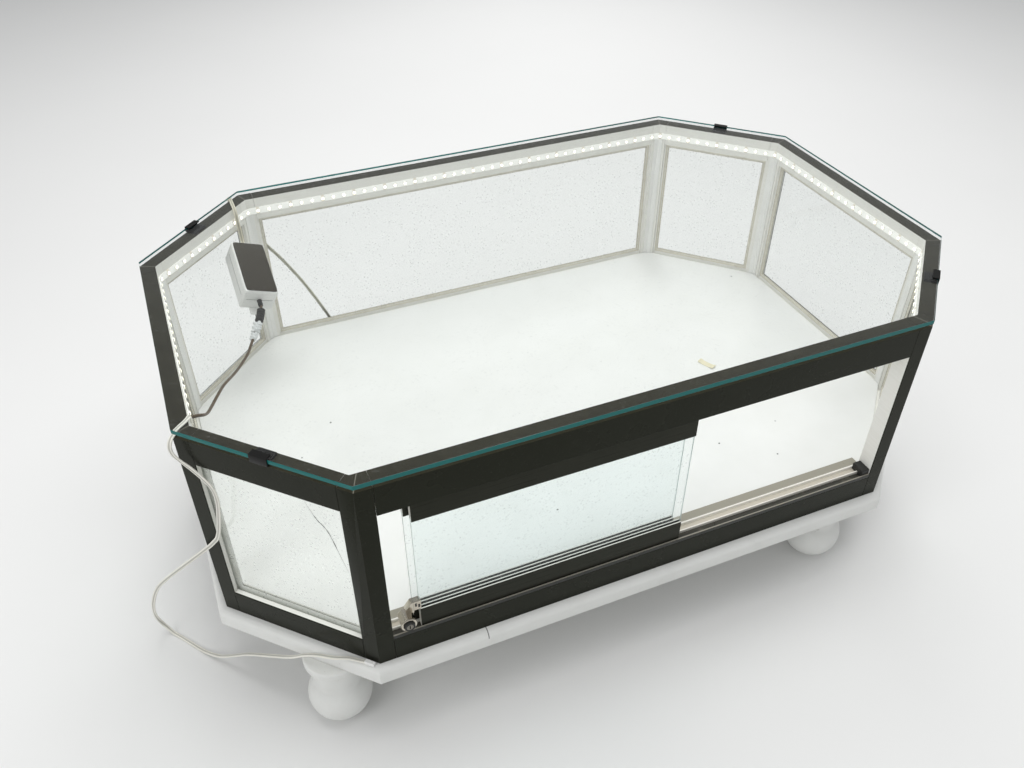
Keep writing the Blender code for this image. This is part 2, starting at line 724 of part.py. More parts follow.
def make_driver():
    place = driver_matrix()
    half_wide = DRIVER_WIDE / 2
    half_long = DRIVER_LONG / 2
    case = box("driver_case", (-half_wide, -half_long, -DRIVER_THICK), (half_wide, half_long, 0), place, CASING)
    round_edges(case, DRIVER_ROUND, 2)
    reach = half_long + EAR_LONG
    ears = box("driver_ears", (-EAR_WIDE / 2, -reach, -DRIVER_THICK),
               (EAR_WIDE / 2, reach, EAR_THICK - DRIVER_THICK), place, CASING, CUTTERS)
    combine(case, ears, "UNION")
    for end in (-1, 1):
        middle = Matrix.Translation((0, end * (half_long + EAR_LONG / 2), -DRIVER_THICK))
        hole = rod(f"driver_ear_hole_{end}", EAR_HOLE_RADIUS, 4 * EAR_THICK,
                   place @ middle, CASING, CUTTERS, 16)
        combine(case, hole, "DIFFERENCE")


def smooth_route(points, step):
    """A smooth curve through the points, read at steps in proportion to its thickness, with straight ends."""
    points = np.array(points, float)
    dense = []
    for index in range(1, len(points) - 2):
        p0, p1, p2, p3 = points[index - 1:index + 3]
        t = np.linspace(0, 1, 24, endpoint=False)[:, None]
        dense.append(0.5 * (2 * p1 + (p2 - p0) * t + (2 * p0 - 5 * p1 + 4 * p2 - p3) * t ** 2
                            + (3 * p1 - p0 - 3 * p2 + p3) * t ** 3))
    dense = np.vstack(dense + [points[-2:-1]])
    dense[:, 2] = np.maximum(dense[:, 2], points[:, 2].min())
    thick = dense[1:, 3] if dense.shape[1] > 3 else 1.0
    reach = np.concatenate([[0], np.cumsum(np.linalg.norm(np.diff(dense[:, :3], axis=0), axis=1) / thick)])
    even = np.linspace(0, reach[-1], round(reach[-1] / step) + 1)
    run = np.stack([np.interp(even, reach, dense[:, axis]) for axis in range(dense.shape[1])], axis=1)
    return np.vstack([points[:1], run, points[-1:]])


def tube(name, points, diameter, material, resolution=2):
    """A lead along the points. A fourth value scales its thickness."""
    curve = bpy.data.curves.new(name, "CURVE")
    curve.dimensions = "3D"
    curve.bevel_depth = diameter / 2
    curve.bevel_resolution = resolution
    curve.use_fill_caps = True
    curve.twist_mode = "MINIMUM"
    spline = curve.splines.new("POLY")
    spline.points.add(len(points) - 1)
    for point, place in zip(spline.points, points):
        point.co = (*place[:3], 1.0)
        point.radius = place[3] if len(place) > 3 else 1.0
    return make_curve_object(name, curve, Matrix.Identity(4), material, PARTS)


def route_length(points):
    return float(np.linalg.norm(np.diff(np.array(points)[:, :3], axis=0), axis=1).sum())


def route_from(corner, rim_points, floor_points):
    """Points given from a corner of the case, with heights from the rim and then from the floor."""
    upper = [(corner.x + x, corner.y + y, RIM_TOP + z, *thick) for x, y, z, *thick in rim_points]
    lower = [(corner.x + x, corner.y + y, z, *thick) for x, y, z, *thick in floor_points]
    return upper + lower


def mains_route(coil_start):
    """Out of the driver, up and over the rim under the glass, down the back and along the floor."""
    thin = LEAD_FLAT / LEAD_WIDE
    floor = LEAD_WIDE / 2 + SEAT_GAP
    over = (GLASS_LOW - RIM_TOP) / 2
    place = driver_matrix()
    gland = place @ Vector((0, DRIVER_LONG / 2 + SEAT_GAP, -DRIVER_THICK * 0.35))
    clear = place @ Vector((0, DRIVER_LONG / 2 + LEAD_EXIT, -DRIVER_THICK * 0.35))
    rim = [
        (-0.0102, -0.0524, -0.0526, thin), (-0.0105, -0.0492, -0.0485, thin), (-0.0106, -0.0482, -0.0430, thin),
        (-0.0107, -0.0480, -0.0370, thin), (-0.0110, -0.0480, -0.0260, thin), (-0.0112, -0.0482, -0.0155, thin),
        (-0.0113, -0.0480, -0.0095, thin), (-0.0115, -0.0464, -0.0037, thin), (-0.0117, -0.0424, 0.0003, thin),
        (-0.0119, -0.0366, over, thin), (-0.0121, -0.0300, over, thin), (-0.0124, -0.0170, over, thin),
        (-0.0127, -0.0085, over, thin), (-0.0129, -0.0025, 0.0016, thin), (-0.0130, 0.0033, -0.0001, thin),
        (-0.0130, 0.0073, -0.0044, thin), (-0.0127, 0.0090, -0.0104, 0.7), (-0.0117, 0.0098, -0.0175, 0.9),
        (-0.0070, 0.0115, -0.0310, 1), (0.0020, 0.0133, -0.0520, 1), (0.0150, 0.0140, -0.0760, 1),
        (0.0320, 0.0130, -0.1040, 1), (0.0490, 0.0120, -0.1300, 1), (0.0720, 0.0120, -0.1720, 1),
    ]
    ground = [
        (0.0885, 0.0135, 0.2280, 1), (0.1050, 0.0175, 0.1880, 1), (0.1210, 0.0250, 0.1460, 1),
        (0.1410, 0.0340, 0.0970, 1), (0.1660, 0.0390, 0.0520, 1), (0.1970, 0.0400, 0.0200, 1),
        (0.2350, 0.0370, floor, 1), (0.2750, 0.0310, floor, 1), (0.3150, 0.0250, floor, 1),
    ]
    corner = CASE[SIDES.index("back_left")].start
    coil_end = coil_start[0] - COIL_TAIL - SEAT_GAP
    to_coil = [(coil_end - LEAD_EXIT, coil_start[1], floor, 1), (coil_end, coil_start[1], floor, 1)]
    return [(*gland, thin), (*clear, thin)] + route_from(corner, rim, ground) + to_coil


def strip_route():
    """From the strip's end over the rim at the left front corner, down to the floor and up on the plinth."""
    thin = LEAD_FLAT / LEAD_WIDE
    floor = LEAD_WIDE / 2 + SEAT_GAP
    over = (GLASS_LOW - RIM_TOP) / 2
    ledge = PLINTH_TOP + LEAD_WIDE / 2 + 2 * SEAT_GAP
    rim = [
        (0.0208, 0.0417, -0.0185, thin), (0.0209, 0.0378, -0.0182, thin), (0.0212, 0.0345, -0.0166, thin),
        (0.0216, 0.0306, -0.0117, thin), (0.0218, 0.0266, -0.0048, thin), (0.0211, 0.0222, 0.0004, thin),
        (0.0184, 0.0170, over, thin),
        (0.0146, 0.0128, over, thin), (0.0088, 0.0075, over, thin), (0.0022, 0.0005, over, thin),
        (-0.0018, -0.0045, 0.0006, thin), (-0.0044, -0.0079, -0.0036, thin), (-0.0052, -0.0092, -0.0098, 0.7),
        (-0.0036, -0.0102, -0.0175, 0.9), (0.0015, -0.0122, -0.0262, 1), (0.0090, -0.0176, -0.0345, 1),
        (0.0180, -0.0265, -0.0448, 1), (0.0243, -0.0328, -0.0550, 1), (0.0265, -0.0350, -0.0690, 1),
        (0.0250, -0.0335, -0.0890, 1), (0.0170, -0.0255, -0.1348, 1), (0.0077, -0.0165, -0.1560, 1),
    ]
    ground = [
        (-0.0095, -0.0015, 0.2540, 1), (-0.0635, 0.0495, 0.1715, 1), (-0.0810, 0.0670, 0.1370, 1),
        (-0.0920, 0.0790, 0.1010, 1), (-0.0970, 0.0940, 0.0640, 1), (-0.0975, 0.1070, 0.0350, 1),
        (-0.0935, 0.1110, 0.0150, 1), (-0.0830, 0.1010, floor, 1), (-0.0665, 0.0790, floor, 1),
        (-0.0490, 0.0550, 0.0040, 1), (-0.0305, 0.0325, 0.0120, 1), (-0.0110, 0.0090, 0.0340, 1),
        (0.0110, -0.0220, 0.0665, 1), (0.0565, -0.0780, ledge - 0.0375, 1), (0.0760, -0.1000, ledge - 0.0145, 1),
        (0.0910, -0.1155, ledge - 0.0025, 1), (0.1050, -0.1265, ledge + 0.0010, 1), (0.1240, -0.1350, ledge, 1),
        (0.1400, -0.1455, ledge, 1),
    ]
    return route_from(CASE[SIDES.index("front_left")].start, rim, ground)


def feed_route():
    """A sagging line from the driver's front end to the inner face of the strip."""
    place = driver_matrix()
    corner = CASE[SIDES.index("front_left")].start
    gland = place @ Vector((0, -DRIVER_LONG / 2 - SEAT_GAP, -DRIVER_THICK / 2))
    clear = place @ Vector((0, -DRIVER_LONG / 2 - DC_LEAD_EXIT, -DRIVER_THICK / 2))
    solder_x = corner.x + TUBE_DEEP + STRIP_THICK + 2 * SEAT_GAP
    solder_high = RIM_TOP - STRIP_DROP - STRIP_WIDE / 2
    solder = Vector((solder_x, corner.y + 0.0465, solder_high))
    near = solder + Vector((0.0050, 0, 0))
    # Share of the way, then how far aside and how far below the straight line
    hang = [
        (0.061, 0.0016, 0.0089), (0.157, 0.0012, 0.0176), (0.276, 0.0011, 0.0257), (0.338, 0.0013, 0.0285),
        (0.447, 0.0009, 0.0277), (0.549, 0.0008, 0.0239), (0.682, 0.0012, 0.0162), (0.767, 0.0011, 0.0155),
        (0.842, 0.0013, 0.0159), (0.900, 0.0021, 0.0148), (0.941, 0.0038, 0.0108), (0.970, 0.0045, 0.0062),
        (0.990, 0.0035, 0.0022),
    ]
    middle = [clear.lerp(near, share) + Vector((aside, 0, -sag)) for share, aside, sag in hang]
    return [tuple(point) for point in [gland, clear] + middle + [near, solder]]


def make_leads():
    coil_start, coil = coil_route()
    routes = {
        "mains_lead": (mains_route(coil_start), LEAD_WIDE, LEAD_STEP, LEAD),
        "strip_lead": (strip_route(), LEAD_WIDE, LEAD_STEP, LEAD),
        "driver_lead": (feed_route(), DC_LEAD_WIDE, DC_LEAD_STEP, DARK_LEAD),
    }
    for name, (route, wide, step, material) in routes.items():
        points = smooth_route(route, step)
        tube(name, points, wide, material)
        print(f"{name}: {route_length(points):.3f} m on {len(points)} points")
    tube("mains_coil", coil, LEAD_WIDE, LEAD, 1)
    print(f"mains_coil: {route_length(coil):.3f} m, least gap to itself {coil_gap(coil) * 1000:.2f} mm")
    make_plug(coil[-1])


def coil_middle():
    corner = CASE[SIDES.index("back_left")].start
    return corner + Vector((COIL_ALONG, PLINTH_OVERHANG + COIL_BEHIND))


def coil_route():
    """Loops that spiral in on the floor, climb in half a turn and spiral out on top."""
    middle = coil_middle()
    low = LEAD_WIDE / 2 + SEAT_GAP
    outer = COIL_INNER_RADIUS + COIL_TURNS * COIL_PITCH
    angle = np.linspace(0, 2 * COIL_TURNS + 0.5, int((2 * COIL_TURNS + 0.5) * COIL_POINTS) + 1)
    radius = np.maximum(COIL_INNER_RADIUS, np.maximum(outer - COIL_PITCH * angle,
                        COIL_INNER_RADIUS + COIL_PITCH * (angle - COIL_TURNS - 0.5)))
    climb = np.clip((angle - COIL_TURNS) / 0.5, 0, 1)
    radius = radius - COIL_PITCH * COIL_DIP * np.sin(math.pi * climb)
    high = low + COIL_PITCH * climb * climb * (3 - 2 * climb)
    turn = 2 * math.pi * angle - math.pi / 2
    loops = np.stack([middle.x + radius * np.cos(turn), middle.y + radius * np.sin(turn), high], axis=1)
    lead_in = loops[0] - np.array([COIL_TAIL, 0, 0])
    lead_out = loops[-1] - np.array([PLUG_TAIL, 0, 0])
    return loops[0], np.vstack([lead_in, loops, lead_out])


def coil_gap(points):
    """Least distance between parts of the coil more than half a turn apart, less the lead's width."""
    apart = np.linalg.norm(points[:, None] - points[None], axis=2)
    index = np.arange(len(points))
    far = np.abs(index[:, None] - index[None]) > COIL_POINTS // 2
    return float(apart[far].min() - LEAD_WIDE)


def make_plug(end):
    """A two-pin plug that lies on the floor at the coil's tail, pins pointing away."""
    place = Matrix.Translation((end[0] - SEAT_GAP, end[1], PLUG_HIGH / 2 + SEAT_GAP))
    half_wide = PLUG_WIDE / 2
    half_high = PLUG_HIGH / 2
    plug = box("mains_plug", (-PLUG_LONG, -half_wide, -half_high), (0, half_wide, half_high), place, LEAD)
    shape = bmesh.new()
    shape.from_mesh(plug.data)
    cable_end = [vertex for vertex in shape.verts if vertex.co.x > 0]
    bmesh.ops.scale(shape, vec=(1, 0.5, 0.7), verts=cable_end)
    shape.to_mesh(plug.data)
    shape.free()
    round_edges(plug, PLUG_ROUND, 3)
    for hand in (-1, 1):
        middle = hand * PIN_APART / 2
        pin = box(f"plug_pin_{hand}", (-PLUG_LONG - PIN_LONG, middle - PIN_THICK / 2, -PIN_WIDE / 2),
                  (-PLUG_LONG / 2, middle + PIN_THICK / 2, PIN_WIDE / 2), place, BRIGHT, CUTTERS)
        combine(plug, pin, "UNION")


clear_scene()
PARTS = new_collection("display_case")
CUTTERS = new_collection("cutters")
CUTTERS.hide_render = True
corners = case_corners()
CASE = [Side(name, corners[i], corners[(i + 1) % 8]) for i, name in enumerate(SIDES)]

FRAME = finish("dark_frame", (0.035, 0.038, 0.034), 0.22, 0.6)
BRIGHT = finish("bright_metal", (0.72, 0.71, 0.68), 0.25, 1.0)
PAINT = finish("white_paint", (0.72, 0.73, 0.70), 0.45)
DECK = finish("white_laminate", (0.88, 0.88, 0.86), 0.35)
GLASS = finish("clear_glass", (0.75, 0.88, 0.86), 0.03, 0.0, 0.25)
CLIP = finish("black_clip", (0.02, 0.02, 0.02), 0.4)
BLACK = finish("black_plastic", (0.02, 0.02, 0.02), 0.5)
STRIP = finish("strip_white", (0.92, 0.93, 0.90), 0.4)
CASING = finish("driver_white", (0.86, 0.86, 0.84), 0.4)
LEAD = finish("white_lead", (0.80, 0.78, 0.70), 0.5)
DARK_LEAD = finish("brown_lead", (0.10, 0.07, 0.04), 0.5)

make_base()
make_posts()
make_rails()
make_panes()
make_deck()
make_top()
make_track()
outer_door = make_door("outer", OUTER_CHANNEL, OUTER_DOOR_LEFT)
make_door("inner", INNER_CHANNEL, INNER_DOOR_LEFT)
make_lock(outer_door)
make_strip()
make_driver()
make_leads()
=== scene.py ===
import json
import math

import bmesh
import bpy
import numpy as np
from mathutils import Matrix, Vector


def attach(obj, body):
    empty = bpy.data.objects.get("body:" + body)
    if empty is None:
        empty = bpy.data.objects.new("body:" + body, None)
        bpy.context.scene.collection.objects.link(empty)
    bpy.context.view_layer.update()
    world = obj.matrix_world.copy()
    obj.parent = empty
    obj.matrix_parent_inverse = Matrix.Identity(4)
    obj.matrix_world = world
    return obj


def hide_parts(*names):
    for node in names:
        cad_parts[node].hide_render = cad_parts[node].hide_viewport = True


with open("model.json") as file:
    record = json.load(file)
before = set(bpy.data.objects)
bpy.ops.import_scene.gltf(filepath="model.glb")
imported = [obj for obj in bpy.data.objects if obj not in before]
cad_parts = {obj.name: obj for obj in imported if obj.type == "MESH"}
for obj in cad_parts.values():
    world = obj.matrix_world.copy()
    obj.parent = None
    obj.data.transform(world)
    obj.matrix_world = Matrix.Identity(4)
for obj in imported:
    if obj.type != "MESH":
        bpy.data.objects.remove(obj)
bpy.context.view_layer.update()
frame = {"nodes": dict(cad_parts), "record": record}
nodes = frame["nodes"]
scene = bpy.context.scene
print("frame loaded:", len(nodes), "nodes")

# the case in metres, as the frame has it: outline at the outer faces, levels from the floor
case = {
    "halfLength": 0.520, "halfWidth": 0.336, "halfFront": 0.365, "halfEnd": 0.181, "postFace": 0.020,
    "plinthLow": 0.1205, "plinthTop": 0.1455, "railTop": 0.1826, "openTop": 0.4013, "rimTop": 0.4358,
    "deckTop": 0.1811,
}
farX, farY = case["halfLength"], case["halfWidth"]
nearX, nearY = case["halfFront"], case["halfEnd"]
cornerList = np.array([
    [-nearX, -farY], [nearX, -farY], [farX, -nearY], [farX, nearY],
    [nearX, farY], [-nearX, farY], [-farX, nearY], [-farX, -nearY],
])
cornerBackLeft, cornerLeftFront = cornerList[5], cornerList[7]
sideNames = ["front", "front_right", "right", "back_right", "back", "back_left", "left", "front_left"]
# sides of the outline: length, direction along, direction into the case
sideStep = np.roll(cornerList, -1, axis=0) - cornerList
sideLong = np.linalg.norm(sideStep, axis=1)
sideAlong = sideStep / sideLong[:, None]
sideInward = np.stack([-sideAlong[:, 1], sideAlong[:, 0]], axis=1)

# shader nodes: each helper adds to the finish that newFinish began last
current = {}


def newFinish(name, **sockets):
    material = bpy.data.materials.new(name)
    material.use_nodes = True
    current["material"], current["tree"] = material, material.node_tree
    current["shader"] = material.node_tree.nodes["Principled BSDF"]
    for key, value in sockets.items():
        current["shader"].inputs[key.replace("_", " ")].default_value = value
    return material


def setSocket(socket, value):
    if isinstance(value, bpy.types.NodeSocket):
        current["tree"].links.new(value, socket)
    else:
        socket.default_value = value


def addNode(kind, inputs=None, **settings):
    node = current["tree"].nodes.new("ShaderNode" + kind)
    for key, value in settings.items():
        setattr(node, key, value)
    for key, value in (inputs or {}).items():
        setSocket(node.inputs[key], value)
    return node


def setInput(name, value):
    setSocket(current["shader"].inputs[name], value)


def objectPlace(turn=(0, 0, 0), stretch=(1, 1, 1)):
    coord = addNode("TexCoord")
    inputs = {"Vector": coord.outputs["Object"], "Rotation": turn, "Scale": stretch}
    return addNode("Mapping", inputs).outputs["Vector"]


def splitPlace(place):
    return addNode("SeparateXYZ", {"Vector": place}).outputs


def faceNormal():
    return splitPlace(addNode("NewGeometry").outputs["Normal"])


def uvPlace():
    return splitPlace(addNode("UVMap").outputs["UV"])


def noiseAt(scale, detail=4.0, rough=0.55, **placing):
    inputs = {"Vector": objectPlace(**placing), "Scale": scale, "Detail": detail, "Roughness": rough}
    return addNode("TexNoise", inputs).outputs["Fac"]


def mathOf(operation, a, b=0.0, clamp=False):
    return addNode("Math", {0: a, 1: b}, operation=operation, use_clamp=clamp).outputs[0]


def plus(a, b):
    return mathOf("ADD", a, b)


def minus(a, b):
    return mathOf("SUBTRACT", a, b)


def times(a, b, clamp=False):
    return mathOf("MULTIPLY", a, b, clamp)


def absOf(a):
    return mathOf("ABSOLUTE", a)


def larger(a, b):
    return mathOf("MAXIMUM", a, b)


# one within half of the middle, else nought
def within(value, middle, half):
    return mathOf("LESS_THAN", absOf(minus(value, middle)), half)


def spread(value, low, high, toLow=0.0, toHigh=1.0):
    inputs = {"Value": value, "From Min": low, "From Max": high, "To Min": toLow, "To Max": toHigh}
    return addNode("MapRange", inputs).outputs["Result"]


# round specks at the middle of scattered cells, faded between two distances from it
def specksAt(scale, near, far):
    cells = addNode("TexVoronoi", {"Vector": objectPlace(), "Scale": scale}, feature="F1")
    return spread(cells.outputs["Distance"], near, far, 1.0, 0.0)


# ends a finish: its colour, and its roughness between two values, from the middle range of a noise
def closeFinish(color, noise, smooth, coarse, low=0.3, high=0.7):
    setInput("Base Color", color)
    setInput("Roughness", spread(noise, low, high, smooth, coarse))
    return current["material"]


def mixColors(share, first, second):
    node = addNode("Mix", {0: share}, data_type="RGBA")
    for index, value in ((6, first), (7, second)):
        setSocket(node.inputs[index], value if isinstance(value, bpy.types.NodeSocket) else (*value, 1.0))
    return node.outputs[2]


def bumpOn(height, strength, distance):
    node = addNode("Bump", {"Height": height, "Strength": strength, "Distance": distance})
    setInput("Normal", node.outputs["Normal"])


# distance outside the case's outline: the largest of the three pairs of faces' distances
def outlineDistance():
    x, y, z = splitPlace(objectPlace())
    absX, absY = absOf(x), absOf(y)
    ends, sides = minus(absX, farX), minus(absY, farY)
    cut = times(minus(plus(absX, absY), farX + nearY), math.sqrt(0.5))
    return larger(larger(ends, sides), cut), absX, absY, z


# thin lines from the outline's corners inward, along the line that halves each corner
def mitreLines(absX, absY):
    lines = []
    halfTurn = math.radians(22.5)
    for (x, y), leanX, leanY in ((cornerList[4], math.sin(halfTurn), math.cos(halfTurn)),
                                 (cornerList[3], math.cos(halfTurn), math.sin(halfTurn))):
        lines.append(absOf(minus(times(minus(absX, x), leanY), times(minus(absY, y), leanX))))
    return spread(mathOf("MINIMUM", *lines), 0.0003, 0.0006, 1.0, 0.0)


def colorBands(value, stops):
    ramp = addNode("ValToRGB", {"Fac": value})
    ramp.color_ramp.interpolation = "CONSTANT"
    elements = ramp.color_ramp.elements
    while len(elements) < len(stops):
        elements.new(1.0)
    for element, (place, color) in zip(elements, stops):
        element.position = place
        element.color = (*color, 1.0)
    return ramp.outputs["Color"]


# finishes
oliveGloss = (0.88, 0.94, 0.60, 1.0)  # tint of the dark metal's reflections


def makeFrameFinish():
    # near-black polished outside, olive rim with mitre lines, pale faces inside the outline
    material = newFinish("frameMetal", Specular_IOR_Level=0.13, Specular_Tint=oliveGloss)
    outside, x, y, z = outlineDistance()
    streaks = noiseAt(3.0, 6.0, 0.6, stretch=(6, 6, 160))
    clouds = noiseAt(9.0, 5.0)
    rubs = noiseAt(45.0, 8.0, 0.7)
    dark = mixColors(clouds, (0.0060, 0.0066, 0.0046), (0.0130, 0.0138, 0.0098))
    dark = mixColors(spread(rubs, 0.60, 0.80, 0.0, 0.35), dark, (0.045, 0.045, 0.036))
    rim = mixColors(rubs, (0.012, 0.011, 0.007), (0.042, 0.039, 0.026))
    pale = mixColors(streaks, (0.80, 0.785, 0.725), (0.93, 0.925, 0.895))
    onRim = spread(z, case["rimTop"] - 0.0008, case["rimTop"] - 0.0002)
    inner = times(spread(outside, -0.0016, -0.0012, 1.0, 0.0), minus(1.0, onRim))
    color = mixColors(onRim, dark, rim)
    color = mixColors(times(mitreLines(x, y), onRim), color, (0.20, 0.19, 0.16))
    color = mixColors(inner, color, pale)
    dust = spread(noiseAt(900.0, 2.0), 0.66, 0.74)
    color = mixColors(times(dust, 0.06), color, (0.5, 0.5, 0.47))
    setInput("Base Color", color)
    setInput("Roughness", plus(spread(clouds, 0.3, 0.7, 0.20, 0.34), times(onRim, 0.22)))
    bumpOn(plus(streaks, times(dust, 0.4)), 0.04, 0.0004)
    return material


def makeDoorRailFinish():
    # the doors' rails: dark sides; faces turned up, down or endwise are painted bright, bare metal where the
    # glass goes in with painted highlight along those edges
    newFinish("doorRail", Specular_IOR_Level=0.16, Specular_Tint=oliveGloss)
    along = noiseAt(4.0, 6.0, 0.65, stretch=(2, 240, 240))
    clouds = noiseAt(16.0, 6.0)
    normal = faceNormal()
    # faces turned up, down or endwise take the bright colour: bare metal and painted highlight
    edge = spread(larger(absOf(normal[2]), absOf(normal[0])), 0.55, 0.75)
    dark = mixColors(clouds, (0.007, 0.0075, 0.006), (0.019, 0.019, 0.015))
    bright = mixColors(along, (0.62, 0.60, 0.54), (0.84, 0.83, 0.79))
    bumpOn(along, 0.05, 0.0003)
    return closeFinish(mixColors(edge, dark, bright), along, 0.24, 0.38)


trackDepth = 0.037


def makeTrackFinish():
    # the track from front to back: light lip, dark channel painted as the door's shadow in it, white fin,
    # cream channel, white fin, grey flange of bare metal painted grey as the reflection of the dark
    # surroundings
    newFinish("doorTrack", Specular_IOR_Level=0.4)
    deep = plus(splitPlace(objectPlace())[1], farY)
    # the second band is painted shadow; the last band's grey is painted reflection on bare metal
    stops = [
        (0.0000, (0.27, 0.255, 0.215)), (0.0021, (0.030, 0.029, 0.024)), (0.0110, (0.84, 0.82, 0.76)),
        (0.0133, (0.60, 0.555, 0.47)), (0.0222, (0.88, 0.86, 0.81)), (0.0245, (0.335, 0.315, 0.26)),
    ]
    stops = [(at / trackDepth, color) for at, color in stops]
    bands = colorBands(mathOf("DIVIDE", deep, trackDepth), stops)
    along = noiseAt(4.0, 6.0, 0.65, stretch=(2, 260, 260))
    stains = noiseAt(38.0, 6.0)
    color = mixColors(spread(along, 0.35, 0.75, 0.0, 0.22), bands, (0.30, 0.28, 0.23))
    color = mixColors(spread(stains, 0.58, 0.75, 0.0, 0.35), color, (0.36, 0.32, 0.24))
    # faces turned to the front at the very front are painted near-black: painted shade
    front = times(spread(faceNormal()[1], -0.7, -0.5, 1.0, 0.0), spread(deep, 0.0006, 0.0010, 1.0, 0.0))
    color = mixColors(front, color, (0.011, 0.0115, 0.009))
    bumpOn(along, 0.06, 0.0003)
    return closeFinish(color, stains, 0.26, 0.46)


def makeChromeFinish(name, first, second):
    newFinish(name, Metallic=1.0)
    pits = noiseAt(700.0, 3.0)
    clouds = noiseAt(90.0, 5.0)
    color = mixColors(clouds, first, second)
    color = mixColors(spread(pits, 0.62, 0.72, 0.0, 0.5), color, (0.30, 0.27, 0.22))
    bumpOn(pits, 0.06, 0.0002)
    return closeFinish(color, clouds, 0.10, 0.26)


paintSplit = {"x": -0.2303, "half": 0.0006, "behind": -0.30, "above": 0.136}


def makePaintFinish():
    # brushed house paint over wood: soft strokes, grey scuffs, bare chips
    newFinish("brushedPaint")
    strokes = noiseAt(5.0, 8.0, 0.65, stretch=(5, 5, 70))
    clouds = noiseAt(6.0, 6.0)
    grime = noiseAt(28.0, 8.0, 0.65)
    chips = noiseAt(150.0, 5.0, 0.6)
    color = mixColors(clouds, (0.74, 0.745, 0.72), (0.82, 0.825, 0.80))
    color = mixColors(spread(grime, 0.50, 0.80, 0.0, 0.22), color, (0.58, 0.575, 0.54))
    bare = spread(times(chips, spread(grime, 0.4, 0.7)), 0.52, 0.55)
    color = mixColors(times(bare, 0.45), color, (0.40, 0.37, 0.32))
    x, y, z = splitPlace(objectPlace())
    split = within(x, paintSplit["x"], paintSplit["half"])
    split = times(split, mathOf("LESS_THAN", y, paintSplit["behind"]))
    split = times(split, mathOf("GREATER_THAN", z, paintSplit["above"]))
    color = mixColors(times(split, 0.85), color, (0.05, 0.048, 0.042))
    bumpOn(minus(times(strokes, 0.6), times(bare, 0.5)), 0.22, 0.0008)
    return closeFinish(color, grime, 0.38, 0.68, 0.3, 0.75)


def makeDeckFinish():
    # white laminate with a light mottle, fine black specks and a few scuffs
    newFinish("deckLaminate")
    mottle = noiseAt(14.0, 6.0)
    specks = times(specksAt(26.0, 0.030, 0.044), spread(noiseAt(13.0, 2.0), 0.55, 0.58))
    scuffs = noiseAt(6.0, 7.0, 0.7, stretch=(3, 40, 1), turn=(0, 0, 0.5))
    color = mixColors(mottle, (0.80, 0.80, 0.775), (0.89, 0.89, 0.875))
    color = mixColors(spread(scuffs, 0.66, 0.76, 0.0, 0.25), color, (0.60, 0.60, 0.57))
    color = mixColors(specks, color, (0.06, 0.06, 0.06))
    bumpOn(mottle, 0.04, 0.0005)
    return closeFinish(color, scuffs, 0.28, 0.5, 0.4, 0.75)


def makeGlassFinish(name, tint, dustShare, edgeColor=None, edgeAxis=2):
    # clear pane that lets lamps through, with dust specks, wiped streaks and scratches; edge faces show green
    newFinish(name, IOR=1.3)
    specks = times(specksAt(170.0, 0.12, 0.26), spread(noiseAt(48.0, 4.0), 0.44, 0.58))
    wipes = noiseAt(3.0, 8.0, 0.7, stretch=(14, 14, 3), turn=(0.4, 0.3, 0.2))
    smears = spread(wipes, 0.5, 0.8, 0.0, 0.05)
    lines = 0.0
    for turn in ((0.5, 0.7, 0.0), (-0.8, 0.2, 0.9), (1.3, -0.5, 0.3)):
        scratch = noiseAt(9.0, 3.0, 0.6, stretch=(70, 70, 9), turn=turn)
        lines = larger(spread(scratch, 0.71, 0.74, 0.0, 0.9), lines)
    dust = times(plus(plus(specks, smears), lines), dustShare, clamp=True)
    color = mixColors(dust, tint, (0.60, 0.61, 0.59))
    clear = minus(1.0, dust)
    if edgeColor:
        # faces that turn away from z are edges, or with another axis those that face along it
        facing = absOf(faceNormal()[edgeAxis])
        edge = spread(facing, 0.6, 0.5) if edgeAxis == 2 else spread(facing, 0.5, 0.6)
        color = mixColors(edge, color, edgeColor)
        clear = times(clear, spread(edge, 0.0, 1.0, 1.0, 0.25))
    setInput("Transmission Weight", clear)
    # shadows and soft light pass straight through
    film = addNode("BsdfTransparent", {"Color": (*[0.97 * v for v in tint], 1.0)})
    path = addNode("LightPath")
    soft = larger(path.outputs["Is Shadow Ray"], path.outputs["Is Diffuse Ray"])
    mix = addNode("MixShader", {0: times(soft, clear), 1: current["shader"].outputs[0], 2: film.outputs[0]})
    setSocket(current["tree"].nodes["Material Output"].inputs["Surface"], mix.outputs[0])
    return closeFinish(color, dust, 0.015, 0.25, 0.0, 0.5)


def makePlasticFinish(name, first, second, rough, grain, bump, gloss=0.3):
    newFinish(name, Specular_IOR_Level=gloss)
    clouds = noiseAt(grain * 0.12, 5.0)
    bumpOn(noiseAt(grain, 3.0), bump, 0.0002)
    return closeFinish(mixColors(clouds, first, second), clouds, rough - 0.06, rough + 0.1)


def makeLeadFinish(name, first, second, groove):
    # moulded lead: painted shade in the groove between its two cores, faint handling marks along it
    newFinish(name)
    marks = noiseAt(55.0, 6.0)
    fold = absOf(mathOf("SINE", times(uvPlace()[0], 2 * math.pi)))
    # darker along the groove between the cores: painted shade
    grooveShade = spread(fold, 0.86, 1.0, 0.0, groove)
    color = mixColors(marks, first, second)
    color = mixColors(grooveShade, color, tuple(0.42 * c for c in first))
    bumpOn(noiseAt(900.0, 2.0), 0.05, 0.0002)
    return closeFinish(color, marks, 0.36, 0.56)


